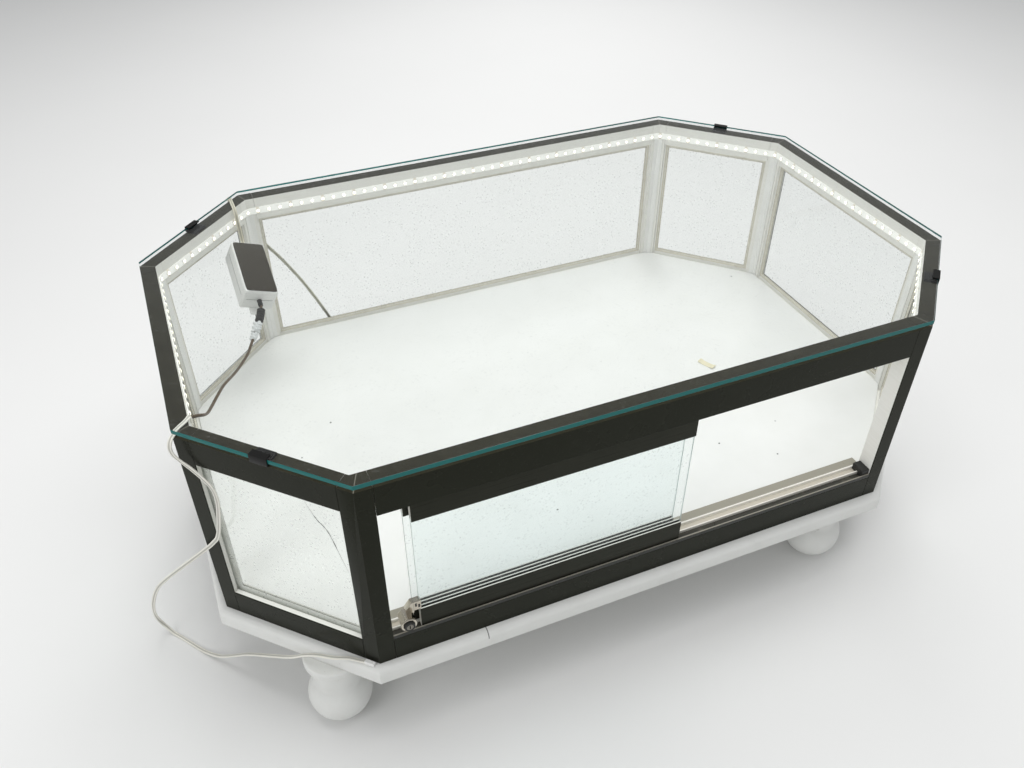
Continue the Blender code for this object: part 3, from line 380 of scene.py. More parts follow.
def makeBeadFinish():
    # the stepped glazing bead: u runs round its section, gasket and shadow gaps at fixed shares of it
    newFinish("glazingBead")
    bands = colorBands(uvPlace()[0], [
        (0.00, (0.04, 0.04, 0.035)), (0.03, (0.74, 0.70, 0.58)), (0.115, (0.10, 0.09, 0.075)),
        (0.135, (0.84, 0.82, 0.74)), (0.225, (0.16, 0.15, 0.13)), (0.245, (0.76, 0.72, 0.60)),
        (0.335, (0.16, 0.15, 0.13)), (0.355, (0.90, 0.89, 0.85)),
    ])
    grime = noiseAt(40.0, 7.0, 0.65)
    color = mixColors(spread(grime, 0.5, 0.75, 0.0, 0.4), bands, (0.45, 0.41, 0.32))
    bumpOn(grime, 0.08, 0.0004)
    return closeFinish(color, grime, 0.28, 0.5)


chipPitch = 1 / 60  # sixty chips a metre


def makeStripFinish():
    # light strip's board: v is the distance along it, pads and a small dark resistor every three chips
    # the board glows faintly in its own colour: painted light from its chips
    newFinish("stripBoard", Emission_Strength=0.38)
    u, v = uvPlace()[:2]
    step = mathOf("FRACT", mathOf("DIVIDE", v, 3 * chipPitch))
    rows = mathOf("GREATER_THAN", absOf(minus(u, 0.5)), 0.22)
    pads = times(within(step, 0.5, 0.045), rows)
    part = times(within(step, 0.17, 0.018), minus(1.0, rows))
    tone = noiseAt(60.0, 4.0)
    color = mixColors(tone, (0.78, 0.78, 0.74), (0.85, 0.85, 0.82))
    color = mixColors(pads, color, (0.64, 0.60, 0.52))
    color = mixColors(part, color, (0.05, 0.05, 0.05))
    setInput("Emission Color", color)
    return closeFinish(color, tone, 0.32, 0.5)


def makeGlowFinish():
    material = newFinish("chipGlow", Roughness=0.3, Emission_Strength=2.6)
    tone = noiseAt(120.0, 3.0)
    color = mixColors(tone, (1.0, 0.93, 0.66), (1.0, 0.97, 0.80))
    setInput("Base Color", color)
    setInput("Emission Color", color)
    return material


def makeLabelFinish():
    # bare label: brown-grey film with a soft sheen, rubbed pale at places
    newFinish("bareLabel", Specular_IOR_Level=0.15)
    rubbed = noiseAt(130.0, 6.0, 0.65)
    color = mixColors(rubbed, (0.030, 0.026, 0.019), (0.058, 0.051, 0.039))
    color = mixColors(spread(rubbed, 0.66, 0.8, 0.0, 0.4), color, (0.20, 0.19, 0.17))
    bumpOn(noiseAt(1500.0, 2.0), 0.05, 0.0001)
    return closeFinish(color, rubbed, 0.32, 0.52)


finish = {
    "frame": makeFrameFinish(),
    "doorRail": makeDoorRailFinish(),
    "track": makeTrackFinish(),
    "chrome": makeChromeFinish("lockChrome", (0.46, 0.41, 0.33), (0.72, 0.68, 0.60)),
    "key": makeChromeFinish("keySteel", (0.16, 0.15, 0.13), (0.30, 0.28, 0.25)),
    "paint": makePaintFinish(),
    "deck": makeDeckFinish(),
    "pane": makeGlassFinish("dustyPane", (0.935, 0.950, 0.940), 0.34),
    "door": makeGlassFinish("doorGlass", (0.955, 0.985, 0.985), 0.16, (0.55, 0.64, 0.61), 0),
    "top": makeGlassFinish("topGlass", (0.985, 0.995, 0.99), 0.05, (0.012, 0.19, 0.18), 2),
    "clip": makePlasticFinish("clipBlack", (0.006, 0.006, 0.006), (0.016, 0.016, 0.015), 0.34, 600.0, 0.10,
                              gloss=0.12),
    "black": makePlasticFinish("stopBlack", (0.014, 0.014, 0.014), (0.045, 0.044, 0.041), 0.48, 500.0, 0.14),
    "casing": makePlasticFinish("driverShell", (0.78, 0.78, 0.76), (0.88, 0.88, 0.86), 0.42, 420.0, 0.10),
    "tape": makePlasticFinish("paleTape", (0.55, 0.57, 0.58), (0.80, 0.81, 0.80), 0.40, 300.0, 0.20),
    "tag": makePlasticFinish("deckTag", (0.72, 0.66, 0.46), (0.84, 0.79, 0.60), 0.50, 300.0, 0.20),
    "lead": makeLeadFinish("twinLead", (0.80, 0.78, 0.69), (0.88, 0.87, 0.81), 0.75),
    "mains": makeLeadFinish("mainsLead", (0.66, 0.61, 0.47), (0.79, 0.76, 0.65), 0.75),
    "feed": makeLeadFinish("brownLead", (0.060, 0.040, 0.022), (0.130, 0.090, 0.050), 0.6),
    "bead": makeBeadFinish(),
    "strip": makeStripFinish(),
    "glow": makeGlowFinish(),
    "label": makeLabelFinish(),
    "cover": makePlasticFinish("cornerCover", (0.84, 0.835, 0.80), (0.93, 0.93, 0.91), 0.36, 200.0, 0.06),
    "chip": makePlasticFinish("chipBody", (0.84, 0.84, 0.80), (0.93, 0.93, 0.90), 0.40, 500.0, 0.05),
    "seam": makePlasticFinish("driverSeam", (0.20, 0.20, 0.19), (0.34, 0.34, 0.32), 0.50, 400.0, 0.05),
    "crack": makePlasticFinish("glassCrack", (0.17, 0.18, 0.165), (0.34, 0.35, 0.33), 0.30, 900.0, 0.20),
}
print("finishes made:", len(finish))

nodeFinish = {
    "dark_frame": "frame", "bright_metal": "track", "white_paint": "paint", "white_laminate": "deck",
    "clear_glass": "pane", "black_clip": "clip", "black_plastic": "black", "strip_white": "strip",
    "driver_white": "casing", "white_lead": "lead", "brown_lead": "feed",
}
ownFinish = {"top_glass": "top", "lock_key_plug": "key", "mains_plug": "mains"}
for door in ("outer_door_", "inner_door_"):
    ownFinish[door + "glass"] = "door"
    ownFinish[door + "top_rail"] = ownFinish[door + "bottom_rail"] = "doorRail"
for entry in frame["record"]["subparts"]:
    mesh = nodes[entry["node"]].data
    mesh.materials.clear()
    mesh.materials.append(finish[ownFinish.get(entry["node"], nodeFinish[entry["material_slot"]])])


# mesh building
def linkPiece(name, mesh, body):
    piece = bpy.data.objects.new(name, mesh)
    scene.collection.objects.link(piece)
    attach(piece, body)
    return piece


def unitRows(rows):
    return rows / np.linalg.norm(rows, axis=1)[:, None]


def fullTurn(steps):
    return np.linspace(0, 2 * math.pi, steps + 1)


# a grid of points from coordinates that are stretched to one shape
def gridOf(*coordinates):
    return np.stack(np.broadcast_arrays(*coordinates), axis=-1)


# quads between neighbouring rows and columns of a grid of points, with its first and last row closed or not;
# equal points are welded afterwards
def makePiece(name, grids, material, body="root", smooth=40.0):
    points, faces, uvs, count = [], [], [], 0
    for grid, uv, closed in grids:
        rows, cols = grid.shape[:2]
        index = np.arange(rows * cols).reshape(rows, cols) + count
        quads = np.stack([index[:-1, :-1], index[:-1, 1:], index[1:, 1:], index[1:, :-1]], -1).reshape(-1, 4)
        faces += quads.tolist()
        if closed:
            faces += [index[0, :-1][::-1].tolist(), index[-1, :-1].tolist()]
        points.append(grid.reshape(-1, 3))
        uvs.append(np.zeros((rows * cols, 2)) if uv is None else uv.reshape(-1, 2))
        count += rows * cols
    mesh = bpy.data.meshes.new(name)
    mesh.from_pydata(np.concatenate(points).tolist(), [], faces)
    layer = mesh.uv_layers.new(name="UVMap")
    loops = np.empty(len(mesh.loops), dtype=np.int32)
    mesh.loops.foreach_get("vertex_index", loops)
    layer.data.foreach_set("uv", np.concatenate(uvs)[loops].astype(np.float32).ravel())
    shape = bmesh.new()
    shape.from_mesh(mesh)
    bmesh.ops.remove_doubles(shape, verts=shape.verts, dist=2e-6)
    bmesh.ops.dissolve_degenerate(shape, edges=shape.edges, dist=1e-7)
    bmesh.ops.recalc_face_normals(shape, faces=shape.faces)
    shape.to_mesh(mesh)
    shape.free()
    mesh.materials.append(finish[material])
    mesh.shade_smooth()
    mesh.set_sharp_from_angle(angle=math.radians(smooth))
    return linkPiece(name, mesh, body)


def bevelPiece(piece, width, segments=2, angle=38):
    modifier = piece.modifiers.new("edges", "BEVEL")
    modifier.width = width
    modifier.segments = segments
    modifier.limit_method = "ANGLE"
    modifier.angle_limit = math.radians(angle)


# cubic through the points, each stretch weighted from its two points and their neighbours; ends stay straight
def smoothPath(points, perPiece=10):
    points = np.array(points, float)
    p0, p1, p2, p3 = points[:-3, None], points[1:-2, None], points[2:-1, None], points[3:, None]
    t = np.linspace(0, 1, perPiece, endpoint=False)[None, :, None]
    run = 0.5 * (2 * p1 + (p2 - p0) * t + (2 * p0 - 5 * p1 + 4 * p2 - p3) * t ** 2
                 + (3 * p1 - p0 - 3 * p2 + p3) * t ** 3)
    path = np.concatenate([points[:1], run.reshape(-1, 3), points[-2:]])
    path[:, 2] = np.maximum(path[:, 2], points[:, 2].min())
    return path


def pathLength(path):
    return np.concatenate([[0.0], np.cumsum(np.linalg.norm(np.diff(path, axis=0), axis=1))])


def pointsAt(path, at):
    reach = pathLength(path)
    return np.stack([np.interp(at, reach, path[:, k]) for k in range(3)], axis=1)


# the flat side's direction along the path: guides are blended by length and squared to the path
def pathFrames(path, guides):
    along = unitRows(np.gradient(path, axis=0))
    reach = pathLength(path)
    marks = [g[0] for g in guides]
    flat = np.stack([np.interp(reach, marks, [g[1][k] for g in guides]) for k in range(3)], axis=1)
    flat = unitRows(flat - (flat * along).sum(1)[:, None] * along)
    return flat, np.cross(along, flat), reach


# two round cores side by side: an oval of the lead's width and thickness, pinched in its middle
def twinSection(width, thick, steps=20, pinch=0.42, notch=0.28, square=0.7):
    t = fullTurn(steps)
    across = width / 2 * np.cos(t)
    fat = np.sign(np.sin(t)) * np.abs(np.sin(t)) ** square
    up = thick / 2 * fat * (1 - pinch * np.exp(-(np.cos(t) / notch) ** 2))
    return across, up, t / (2 * math.pi)


# a section carried along a path; u is the share round it, v the distance along it
def makeLead(name, path, guides, section, material, smooth=60):
    across, up, share = section
    flat, normal, reach = pathFrames(path, guides)
    grid = path[:, None] + flat[:, None] * across[None, :, None] + normal[:, None] * up[None, :, None]
    uv = gridOf(share, reach[:, None])
    return makePiece(name, [(grid, uv, True)], material, smooth=smooth)


# a thin band's section: half its width to each side, its thickness upward
flatSection = np.array([[-0.5, 0], [0.5, 0], [0.5, 1], [-0.5, 1], [-0.5, 0]])


# points given from a corner of the outline, the first ones with heights from the rim, the rest from the floor
def fromCorner(corner, rimPoints, floorPoints):
    upper = np.array(rimPoints) + [*corner, case["rimTop"]]
    lower = np.array(floorPoints) + [*corner, 0]
    return np.concatenate([upper, lower]).tolist()


# camera
cameraSettings = {
    "place": (-0.46070, -0.97123, 1.08272), "lens": 31.785, "sensor": 36.0, "near": 0.01,
    "right": (0.922379, -0.386286, -0.000632), "up": (0.244526, 0.582616, 0.775091),
    "back": (-0.299038, -0.715082, 0.631850),
}
cameraData = bpy.data.cameras.new("photoCamera")
cameraData.sensor_width = cameraSettings["sensor"]
cameraData.lens = cameraSettings["lens"]
cameraData.clip_start = cameraSettings["near"]
camera = bpy.data.objects.new("photoCamera", cameraData)
axes = Matrix([cameraSettings["right"], cameraSettings["up"], cameraSettings["back"]]).transposed()
camera.matrix_world = Matrix.Translation(cameraSettings["place"]) @ axes.to_4x4()
scene.collection.objects.link(camera)
bpy.context.scene.camera = camera

# cords
leadSize = {"width": 0.0052, "thick": 0.0026, "feedWidth": 0.0036, "floor": 0.0029}

mainsSettings = {
    "start": [(-0.3749, 0.2743, 0.3788), (-0.3749, 0.2798, 0.3804)],
    "rim": [
        (-0.0102, -0.0524, -0.0526), (-0.0105, -0.0492, -0.0485), (-0.0106, -0.0482, -0.0430),
        (-0.0107, -0.0480, -0.0370), (-0.0110, -0.0480, -0.0260), (-0.0112, -0.0482, -0.0155),
        (-0.0113, -0.0480, -0.0095), (-0.0115, -0.0464, -0.0037), (-0.0117, -0.0424, 0.0003),
        (-0.0119, -0.0366, 0.0018), (-0.0121, -0.0300, 0.0018), (-0.0124, -0.0170, 0.0018),
        (-0.0127, -0.0085, 0.0018), (-0.0129, -0.0025, 0.0016), (-0.0130, 0.0033, -0.0001),
        (-0.0130, 0.0073, -0.0044), (-0.0127, 0.0090, -0.0104), (-0.0117, 0.0098, -0.0175),
        (-0.0070, 0.0115, -0.0310), (0.0020, 0.0133, -0.0520), (0.0150, 0.0140, -0.0760),
        (0.0320, 0.0130, -0.1040), (0.0490, 0.0120, -0.1300), (0.0720, 0.0120, -0.1720),
    ],
    "ground": [
        (0.0885, 0.0135, 0.2280), (0.1050, 0.0175, 0.1880), (0.1210, 0.0250, 0.1460),
        (0.1410, 0.0340, 0.0970), (0.1660, 0.0390, 0.0520), (0.1970, 0.0400, 0.0200),
        (0.2350, 0.0370, 0.0029), (0.2750, 0.0310, 0.0029), (0.3150, 0.0250, 0.0029),
    ],
    "coil": {"turns": 2, "inner": 0.0225, "pitch": 0.0058, "dip": 0.3, "points": 24, "middle": (0.03, 0.391)},
    "coilEntry": [(0.0122, 0.3569, 0.0029), (0.0182, 0.3569, 0.0029)], "plugTail": 0.036,
    "guides": [(0.0, (1, 0, 0)), (0.36, (1, 0, 0)), (0.58, (0, 0, 1)), (2.0, (0, 0, 1))],
}


# loops that spiral in on the floor, climb in half a turn and spiral out on top
def coilPath(settings):
    turns, inner, pitch = settings["turns"], settings["inner"], settings["pitch"]
    angle = np.linspace(0, 2 * turns + 0.5, int((2 * turns + 0.5) * settings["points"]) + 1)
    outward = np.maximum(inner + pitch * (turns - angle), inner + pitch * (angle - turns - 0.5))
    climb = np.clip((angle - turns) / 0.5, 0, 1)
    radius = np.maximum(inner, outward) - pitch * settings["dip"] * np.sin(math.pi * climb)
    high = leadSize["floor"] + pitch * climb * climb * (3 - 2 * climb)
    turn = 2 * math.pi * angle - math.pi / 2
    x, y = settings["middle"]
    return np.stack([x + radius * np.cos(turn), y + radius * np.sin(turn), high], axis=1)


coil = coilPath(mainsSettings["coil"])
mainsRun = fromCorner(cornerBackLeft, mainsSettings["rim"], mainsSettings["ground"])
mainsRun = smoothPath(mainsSettings["start"] + mainsRun + mainsSettings["coilEntry"])
mainsPath = np.concatenate([mainsRun, coil, coil[-1:] - [[mainsSettings["plugTail"], 0, 0]]])
flatTwin = twinSection(leadSize["width"], leadSize["thick"])
mainsLead = makeLead("mainsLead", mainsPath, mainsSettings["guides"], flatTwin, "mains")
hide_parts("mains_lead", "mains_coil")

stripSettings = {
    "rim": [
        (0.0208, 0.0417, -0.0185), (0.0209, 0.0378, -0.0182), (0.0212, 0.0345, -0.0166),
        (0.0216, 0.0306, -0.0117), (0.0218, 0.0266, -0.0048), (0.0211, 0.0222, 0.0004),
        (0.0184, 0.0170, 0.0018), (0.0146, 0.0128, 0.0018), (0.0088, 0.0075, 0.0018),
        (0.0022, 0.0005, 0.0018), (-0.0018, -0.0045, 0.0006), (-0.0044, -0.0079, -0.0036),
        (-0.0052, -0.0092, -0.0098),
        (-0.0036, -0.0102, -0.0175), (0.0015, -0.0122, -0.0262), (0.0090, -0.0176, -0.0345),
        (0.0180, -0.0265, -0.0448), (0.0243, -0.0328, -0.0550), (0.0265, -0.0350, -0.0690),
        (0.0250, -0.0335, -0.0890), (0.0170, -0.0255, -0.1348), (0.0077, -0.0165, -0.1560),
    ],
    "ground": [
        (-0.0095, -0.0015, 0.2540), (-0.0635, 0.0495, 0.1715), (-0.0810, 0.0670, 0.1370),
        (-0.0920, 0.0790, 0.1010), (-0.0970, 0.0940, 0.0640), (-0.0975, 0.1070, 0.0350),
        (-0.0935, 0.1110, 0.0150), (-0.0830, 0.1010, 0.0017), (-0.0665, 0.0790, 0.0017),
        (-0.0490, 0.0550, 0.0030), (-0.0305, 0.0325, 0.0120), (-0.0110, 0.0090, 0.0340),
        (0.0110, -0.0220, 0.0665), (0.0565, -0.0780, 0.1112), (0.0760, -0.1000, 0.1342),
        (0.0910, -0.1155, 0.1456), (0.1050, -0.1265, 0.1482), (0.1240, -0.1348, 0.1472),
        (0.1395, -0.1462, 0.1472),
    ],
    "guides": [
        (0.0, (0, 0, 1)), (0.010, (0, 0.4, 0.9)), (0.018, (0, 0.87, 0.5)), (0.034, (-0.8, 0.6, 0)),
        (0.50, (-0.707, 0.707, 0)), (0.57, (-0.8, -0.6, 0)), (1.2, (-0.707, -0.707, 0)),
    ],
}
stripPath = smoothPath(fromCorner(cornerLeftFront, stripSettings["rim"], stripSettings["ground"]))
stripLead = makeLead("stripLead", stripPath, stripSettings["guides"], flatTwin, "lead")
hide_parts("strip_lead")

feedFlat = (0.8, -0.3, 0.5)  # where the flat side of the dark lead and of the sleeves faces
feedSettings = {
    "points": [
        (-0.3770, 0.1800, 0.3447), (-0.3770, 0.1688, 0.3413), (-0.3825, 0.1503, 0.3369),
        (-0.3941, 0.1212, 0.3353), (-0.4080, 0.0851, 0.3361), (-0.4150, 0.0663, 0.3379),
        (-0.4281, 0.0332, 0.3468), (-0.4400, 0.0023, 0.3581), (-0.4551, -0.0381, 0.3757),
        (-0.4650, -0.0638, 0.3827), (-0.4735, -0.0866, 0.3879), (-0.4795, -0.1042, 0.3933),
        (-0.4825, -0.1166, 0.4003), (-0.4852, -0.1254, 0.4071),
        (-0.4885, -0.1315, 0.4126), (-0.4932, -0.1345, 0.4155), (-0.4982, -0.1345, 0.4155),
    ],
    "guides": [(0.0, feedFlat), (0.33, feedFlat), (0.36, (0, 0, 1))],
    "sleeve": {"from": 0.018, "to": 0.044, "radius": 0.0056},
    "tape": [(0.047, 0.068, 0.0052), (0.072, 0.086, 0.0040)],
}
feedPath = smoothPath(feedSettings["points"])
feedTwin = twinSection(leadSize["feedWidth"], leadSize["feedWidth"], pinch=0.25)
feedLead = makeLead("driverLead", feedPath, feedSettings["guides"], feedTwin, "feed")
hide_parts("driver_lead")

sleeveForm = {
    "rows": 41, "mouth": 0.62, "ease": 9, "rib": 0.07,
    "folds": [(1.0, 3, 14), (0.7, 5, -23)],  # height, waves round the sleeve, twist along it
}


# a round sleeve on a lead: radius against the share of its length, eased at both ends
def sleeveOn(name, path, start, end, radius, material, slot, ribs=0, steps=24, crumple=0.0):
    s = sleeveForm
    share = np.linspace(0, 1, s["rows"])
    middle = pointsAt(path, start + (end - start) * share)
    flat, normal, _ = pathFrames(middle, [(0, feedFlat), (1, feedFlat)])
    swell = np.minimum(1, np.minimum(share, 1 - share) * s["ease"] + s["mouth"])
    swell = swell * (1 + s["rib"] * np.sin(2 * math.pi * ribs * share))
    turn = fullTurn(steps)
    ring = flat[:, None] * np.cos(turn)[None, :, None] + normal[:, None] * np.sin(turn)[None, :, None]
    folds = sum(high * np.sin(about * turn + along * share[:, None]) for high, about, along in s["folds"])
    grid = middle[:, None] + ring * (radius * swell[:, None] * (1 + crumple * folds))[..., None]
    return makePiece(name, [(grid, None, True)], material)


feedSleeve = sleeveOn("feedSleeve", feedPath, feedSettings["sleeve"]["from"], feedSettings["sleeve"]["to"],
                      feedSettings["sleeve"]["radius"], "black", "black_plastic", ribs=5)
feedTapes = [
    sleeveOn(f"feedTape{number}", feedPath, start, end, radius, "tape", "driver_white", ribs=2, crumple=0.22)
    for number, (start, end, radius) in enumerate(feedSettings["tape"])
]


# two-pin housing at the strip lead's end: a stepped box section carried along the front left side
def makeConnector():
    settings = {"long": 0.0125, "half": 0.0029, "high": 0.0044, "low": 0.1461}
    frontLeft = sideNames.index("front_left")
    along, across = np.append(sideAlong[frontLeft], 0.0), np.append(sideInward[frontLeft], 0.0)
    share = np.array([0.0, 0.0, 0.10, 0.30, 0.30, 0.36, 0.36, 0.85, 1.0, 1.0])
    wide = np.array([0.0, 0.80, 0.92, 0.92, 1.0, 1.0, 0.92, 0.92, 0.86, 0.0]) * settings["half"]
    corner = np.array([[-1, 0], [-1, 0.85], [-0.8, 1], [0.8, 1], [1, 0.85], [1, 0], [-1, 0]], float)
    middle = stripPath[-1] + along * (share * settings["long"])[:, None]
    grid = middle[:, None] + across * (wide[:, None] * corner[None, :, 0])[..., None]
    grid[..., 2] = settings["low"] + settings["high"] * corner[None, :, 1] * (wide > 0)[:, None]
    return makePiece("leadConnector", [(grid, None, False)], "casing", smooth=30)


connector = makeConnector()


# tapered relief at the plug's back end: an oval that narrows along the lead, with rings cut in it
def makeRelief():
    s = {"start": -0.0066, "long": 0.024, "wide": 0.0046, "thin": 0.0031, "flat": 0.85, "tall": 1.05,
         "rings": 5, "cut": 0.13, "cutAbove": 0.35, "cutUntil": 0.92}
    share, turn = np.linspace(0, 1, 61), fullTurn(24)
    cuts = (np.cos(2 * math.pi * s["rings"] * share) > s["cutAbove"]) * (share < s["cutUntil"])
    radius = (s["wide"] + (s["thin"] - s["wide"]) * share) * (1 - s["cut"] * cuts)
    x = s["start"] + s["long"] * share[:, None]
    y = coil[-1, 1] + radius[:, None] * np.cos(turn) * s["flat"]
    z = coil[-1, 2] + radius[:, None] * np.sin(turn) * s["tall"]
    return makePiece("plugRelief", [(gridOf(x, y, z), None, True)], "mains", smooth=30)


relief = makeRelief()


# band round the coil's bundle: an oval ring whose plane holds the coil's axis
def makeTie():
    s = {"wide": 0.006, "swell": 0.15, "aside": 0.0283, "high": 0.0062, "floor": 0.0002,
         "halfLong": 0.0098, "halfHigh": 0.0056, "square": 0.55}
    x, y = mainsSettings["coil"]["middle"]
    turn = np.stack([np.cos(fullTurn(40)), np.sin(fullTurn(40))], axis=1)
    oval = np.sign(turn) * np.abs(turn) ** s["square"] * [s["halfLong"], s["halfHigh"]]
    ring = oval[:, None] * (1 + flatSection[None, :, 1:] * s["swell"])
    grid = gridOf(x + s["aside"] + ring[..., 0], y + flatSection[:, 0] * s["wide"],
                  np.maximum(s["high"] + ring[..., 1], s["floor"]))
    return makePiece("coilTie", [(grid, None, False)], "black", smooth=30)


tie = makeTie()
print("cords laid")


# the outline's corners moved inward: each lies at the given depths behind its two sides
def insetCorners(depths):
    depths = np.broadcast_to(depths, np.broadcast_shapes(np.shape(depths), (len(cornerList),)))
    before, after = np.roll(depths, 1, axis=-1), depths
    n1, n2 = np.roll(sideInward, 1, axis=0), sideInward
    turn = n1[:, 0] * n2[:, 1] - n1[:, 1] * n2[:, 0]
    x = (before * n2[:, 1] - after * n1[:, 1]) / turn
    y = (n1[:, 0] * after - n2[:, 0] * before) / turn
    return cornerList + np.stack([x, y], axis=-1)


# an outline carried from low to high, with both ends closed
def prismGrid(outline, low, high, axes):
    outline = np.array(list(outline) + [outline[0]], float)
    grid = gridOf(outline[:, 0], outline[:, 1], np.array([[low], [high]]))
    return grid[..., axes], None, True


def placeGrid(grid, matrix):
    place = np.array(matrix)
    return grid @ place[:3, :3].T + place[:3, 3]


# a profile of (radius, height) turned about an axis; column k is the profile at the k-th angle
def turnGrid(profile, place, steps=48):
    radius, high = np.array(profile, float).T[..., None]
    turn = fullTurn(steps)
    return placeGrid(gridOf(radius * np.cos(turn), radius * np.sin(turn), high), place), None, False


# base
plinthSettings = {"overhang": 0.011, "round": 0.009, "steps": 9, "lowRound": 0.0015, "reachIn": 0.05}


# board: depth and height of its profile, a quarter circle at the top edge and a small one below
def makePlinth():
    settings = plinthSettings
    arc = np.linspace(0, math.pi / 2, settings["steps"])
    out, top, low = -settings["overhang"], case["plinthTop"], case["plinthLow"]
    big, small = settings["round"], settings["lowRound"]
    upper = np.stack([out + big * (1 - np.cos(arc)), top - big * (1 - np.sin(arc))], axis=1)
    lower = np.stack([out + small * (1 - np.sin(arc)), low + small * (1 - np.cos(arc))], axis=1)
    profile = np.concatenate([[[settings["reachIn"], low]], lower, upper, [[settings["reachIn"], top]]])
    ring = insetCorners(profile[:, :1])
    ring = np.concatenate([ring, ring[:, :1]], axis=1)
    grid = gridOf(ring[..., 0], ring[..., 1], profile[:, 1:])
    piece = makePiece("plinthBoard", [(grid, None, True)], "paint", smooth=30)
    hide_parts("plinth_board")


makePlinth()

footSettings = {
    "places": {"foot_front_left": (-0.411, -0.276), "foot_front_right": (0.321, -0.287),
               "foot_back_left": (-0.411, 0.276), "foot_back_right": (0.321, 0.287)},
    "top": 0.1202, "ball": 0.041, "flat": 0.014, "neck": 0.031, "collar": 0.038, "collarLow": 0.107,
    "round": 0.003,
}


# turned foot: ball cut flat below, then a cove up to a round collar under the plinth
def makeFoot(node, x, y):
    f = footSettings
    ballHigh = math.sqrt(f["ball"] ** 2 - f["flat"] ** 2)
    neckHigh = ballHigh + math.sqrt(f["ball"] ** 2 - f["neck"] ** 2)
    t = np.linspace(math.asin(-ballHigh / f["ball"]), math.asin((neckHigh - ballHigh) / f["ball"]), 30)
    ball = np.stack([f["ball"] * np.cos(t), ballHigh + f["ball"] * np.sin(t)], axis=1)
    # the cove rises from the neck as a quarter oval to the collar's underside
    t = np.linspace(0, math.pi / 2, 12)[1:]
    wide, high = f["collar"] - f["round"] - f["neck"], f["collarLow"] - neckHigh
    cove = np.stack([f["neck"] + wide * (1 - np.cos(t)), neckHigh + high * np.sin(t)], axis=1)
    # both edges of the collar are quarter rounds
    t = np.linspace(-math.pi / 2, 0, 8)
    quarter = f["collar"] - f["round"] + f["round"] * np.cos(t)
    lower = np.stack([quarter, f["collarLow"] + f["round"] * (1 + np.sin(t))], axis=1)
    upper = np.stack([quarter[::-1], f["top"] - f["round"] * (1 + np.sin(t[::-1]))], axis=1)
    profile = np.concatenate([[[0, 0]], ball, cove, lower, upper, [[0, f["top"]]]])
    turned = turnGrid(profile, Matrix.Translation((x, y, 0)), 96)
    piece = makePiece(node.replace("foot", "turnedFoot"), [turned], "paint", smooth=50)
    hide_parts(node)


for footNode, (footX, footY) in footSettings["places"].items():
    makeFoot(footNode, footX, footY)
print("base made")

# glazing beads: depth behind the outer face, and how far each step stands over the opening's edge
beadSettings = {
    "profile": [
        (0.0117, 0.0078), (0.0122, 0.0078), (0.0122, 0.0066), (0.0131, 0.0062), (0.0131, 0.0050),
        (0.0141, 0.0045), (0.0141, 0.0032), (0.0152, 0.0027), (0.0152, 0.0002), (0.0117, 0.0002),
        (0.0117, 0.0078),
    ],
}


# the profile carried round a pane's opening: each corner point moves in by the step's height both ways
def makeBead(index):
    profile = np.array(beadSettings["profile"])
    first, last = case["postFace"], sideLong[index] - case["postFace"]
    low, high = case["railTop"], case["openTop"]
    along = np.array([[first, last, last, first, first]]).T + np.array([[1, -1, -1, 1, 1]]).T * profile[:, 1]
    up = np.array([[low, low, high, high, low]]).T + np.array([[1, 1, -1, -1, 1]]).T * profile[:, 1]
    flat = cornerList[index] + along[..., None] * sideAlong[index] + profile[None, :, :1] * sideInward[index]
    grid = np.concatenate([flat, up[..., None]], axis=2)
    share = pathLength(np.c_[profile, np.zeros(len(profile))])
    uv = gridOf(share / share[-1], np.arange(5.0)[:, None])
    makePiece("glazingBead_" + sideNames[index], [(grid, uv, False)], "bead", smooth=30)


for sideIndex in range(1, 8):
    makeBead(sideIndex)

coverSettings = {
    "leg": 0.0075, "near": 0.0191, "thick": 0.0014, "low": 0.1816, "high": 0.4099, "round": 0.0005,
}


# white angle strip inside a post: two legs from the inner corner along its sides, up to the light strip
def makeCover(index):
    s = coverSettings
    near = insetCorners(s["near"])[index]
    far = insetCorners(s["near"] + s["thick"])[index]
    before, after = sideAlong[index - 1] * s["leg"], sideAlong[index] * s["leg"]
    outline = [near - before, near, near + after, far + after, far, far - before]
    grid = prismGrid(outline, s["low"], s["high"], (0, 1, 2))
    piece = makePiece("cornerCover_" + sideNames[index], [grid], "cover", smooth=30)
    bevelPiece(piece, s["round"])


for cornerIndex in range(2, 8):
    makeCover(cornerIndex)
print("beads made")

# light strip
stripBoard = {
    "depth": 0.0199, "frontDepth": 0.0247, "thick": 0.0009, "low": 0.4105, "wide": 0.010,
    "startGap": 0.015, "endGap": 0.034, "bend": 0.007, "pitch": chipPitch,
    "chip": 0.0052, "chipSlope": 0.92, "chipHigh": 0.0014,
    "window": [(0.0023, -0.0001), (0.0023, 0.00012), (0.00138, 0.0003)],  # radius, height over the chip
}


# path round the lit sides, each corner eased by a parabola through its bend
def stripRoute():
    s = stripBoard
    depths = np.full(len(cornerList), s["depth"])
    depths[0] = s["frontDepth"]
    corners = insetCorners(depths)
    start = corners[1] + sideAlong[1] * s["startGap"]
    end = corners[7] - sideAlong[6] * s["endGap"]
    bends = corners[2:7]
    t = np.linspace(0, 1, 7)[None, :, None]
    before = bends - sideAlong[1:6] * s["bend"]
    after = bends + sideAlong[2:7] * s["bend"]
    eased = (1 - t) ** 2 * before[:, None] + 2 * t * (1 - t) * bends[:, None] + t ** 2 * after[:, None]
    flat = np.concatenate([start[None], eased.reshape(-1, 2), end[None]])
    return np.c_[flat, np.full(len(flat), s["low"] + s["wide"] / 2)]


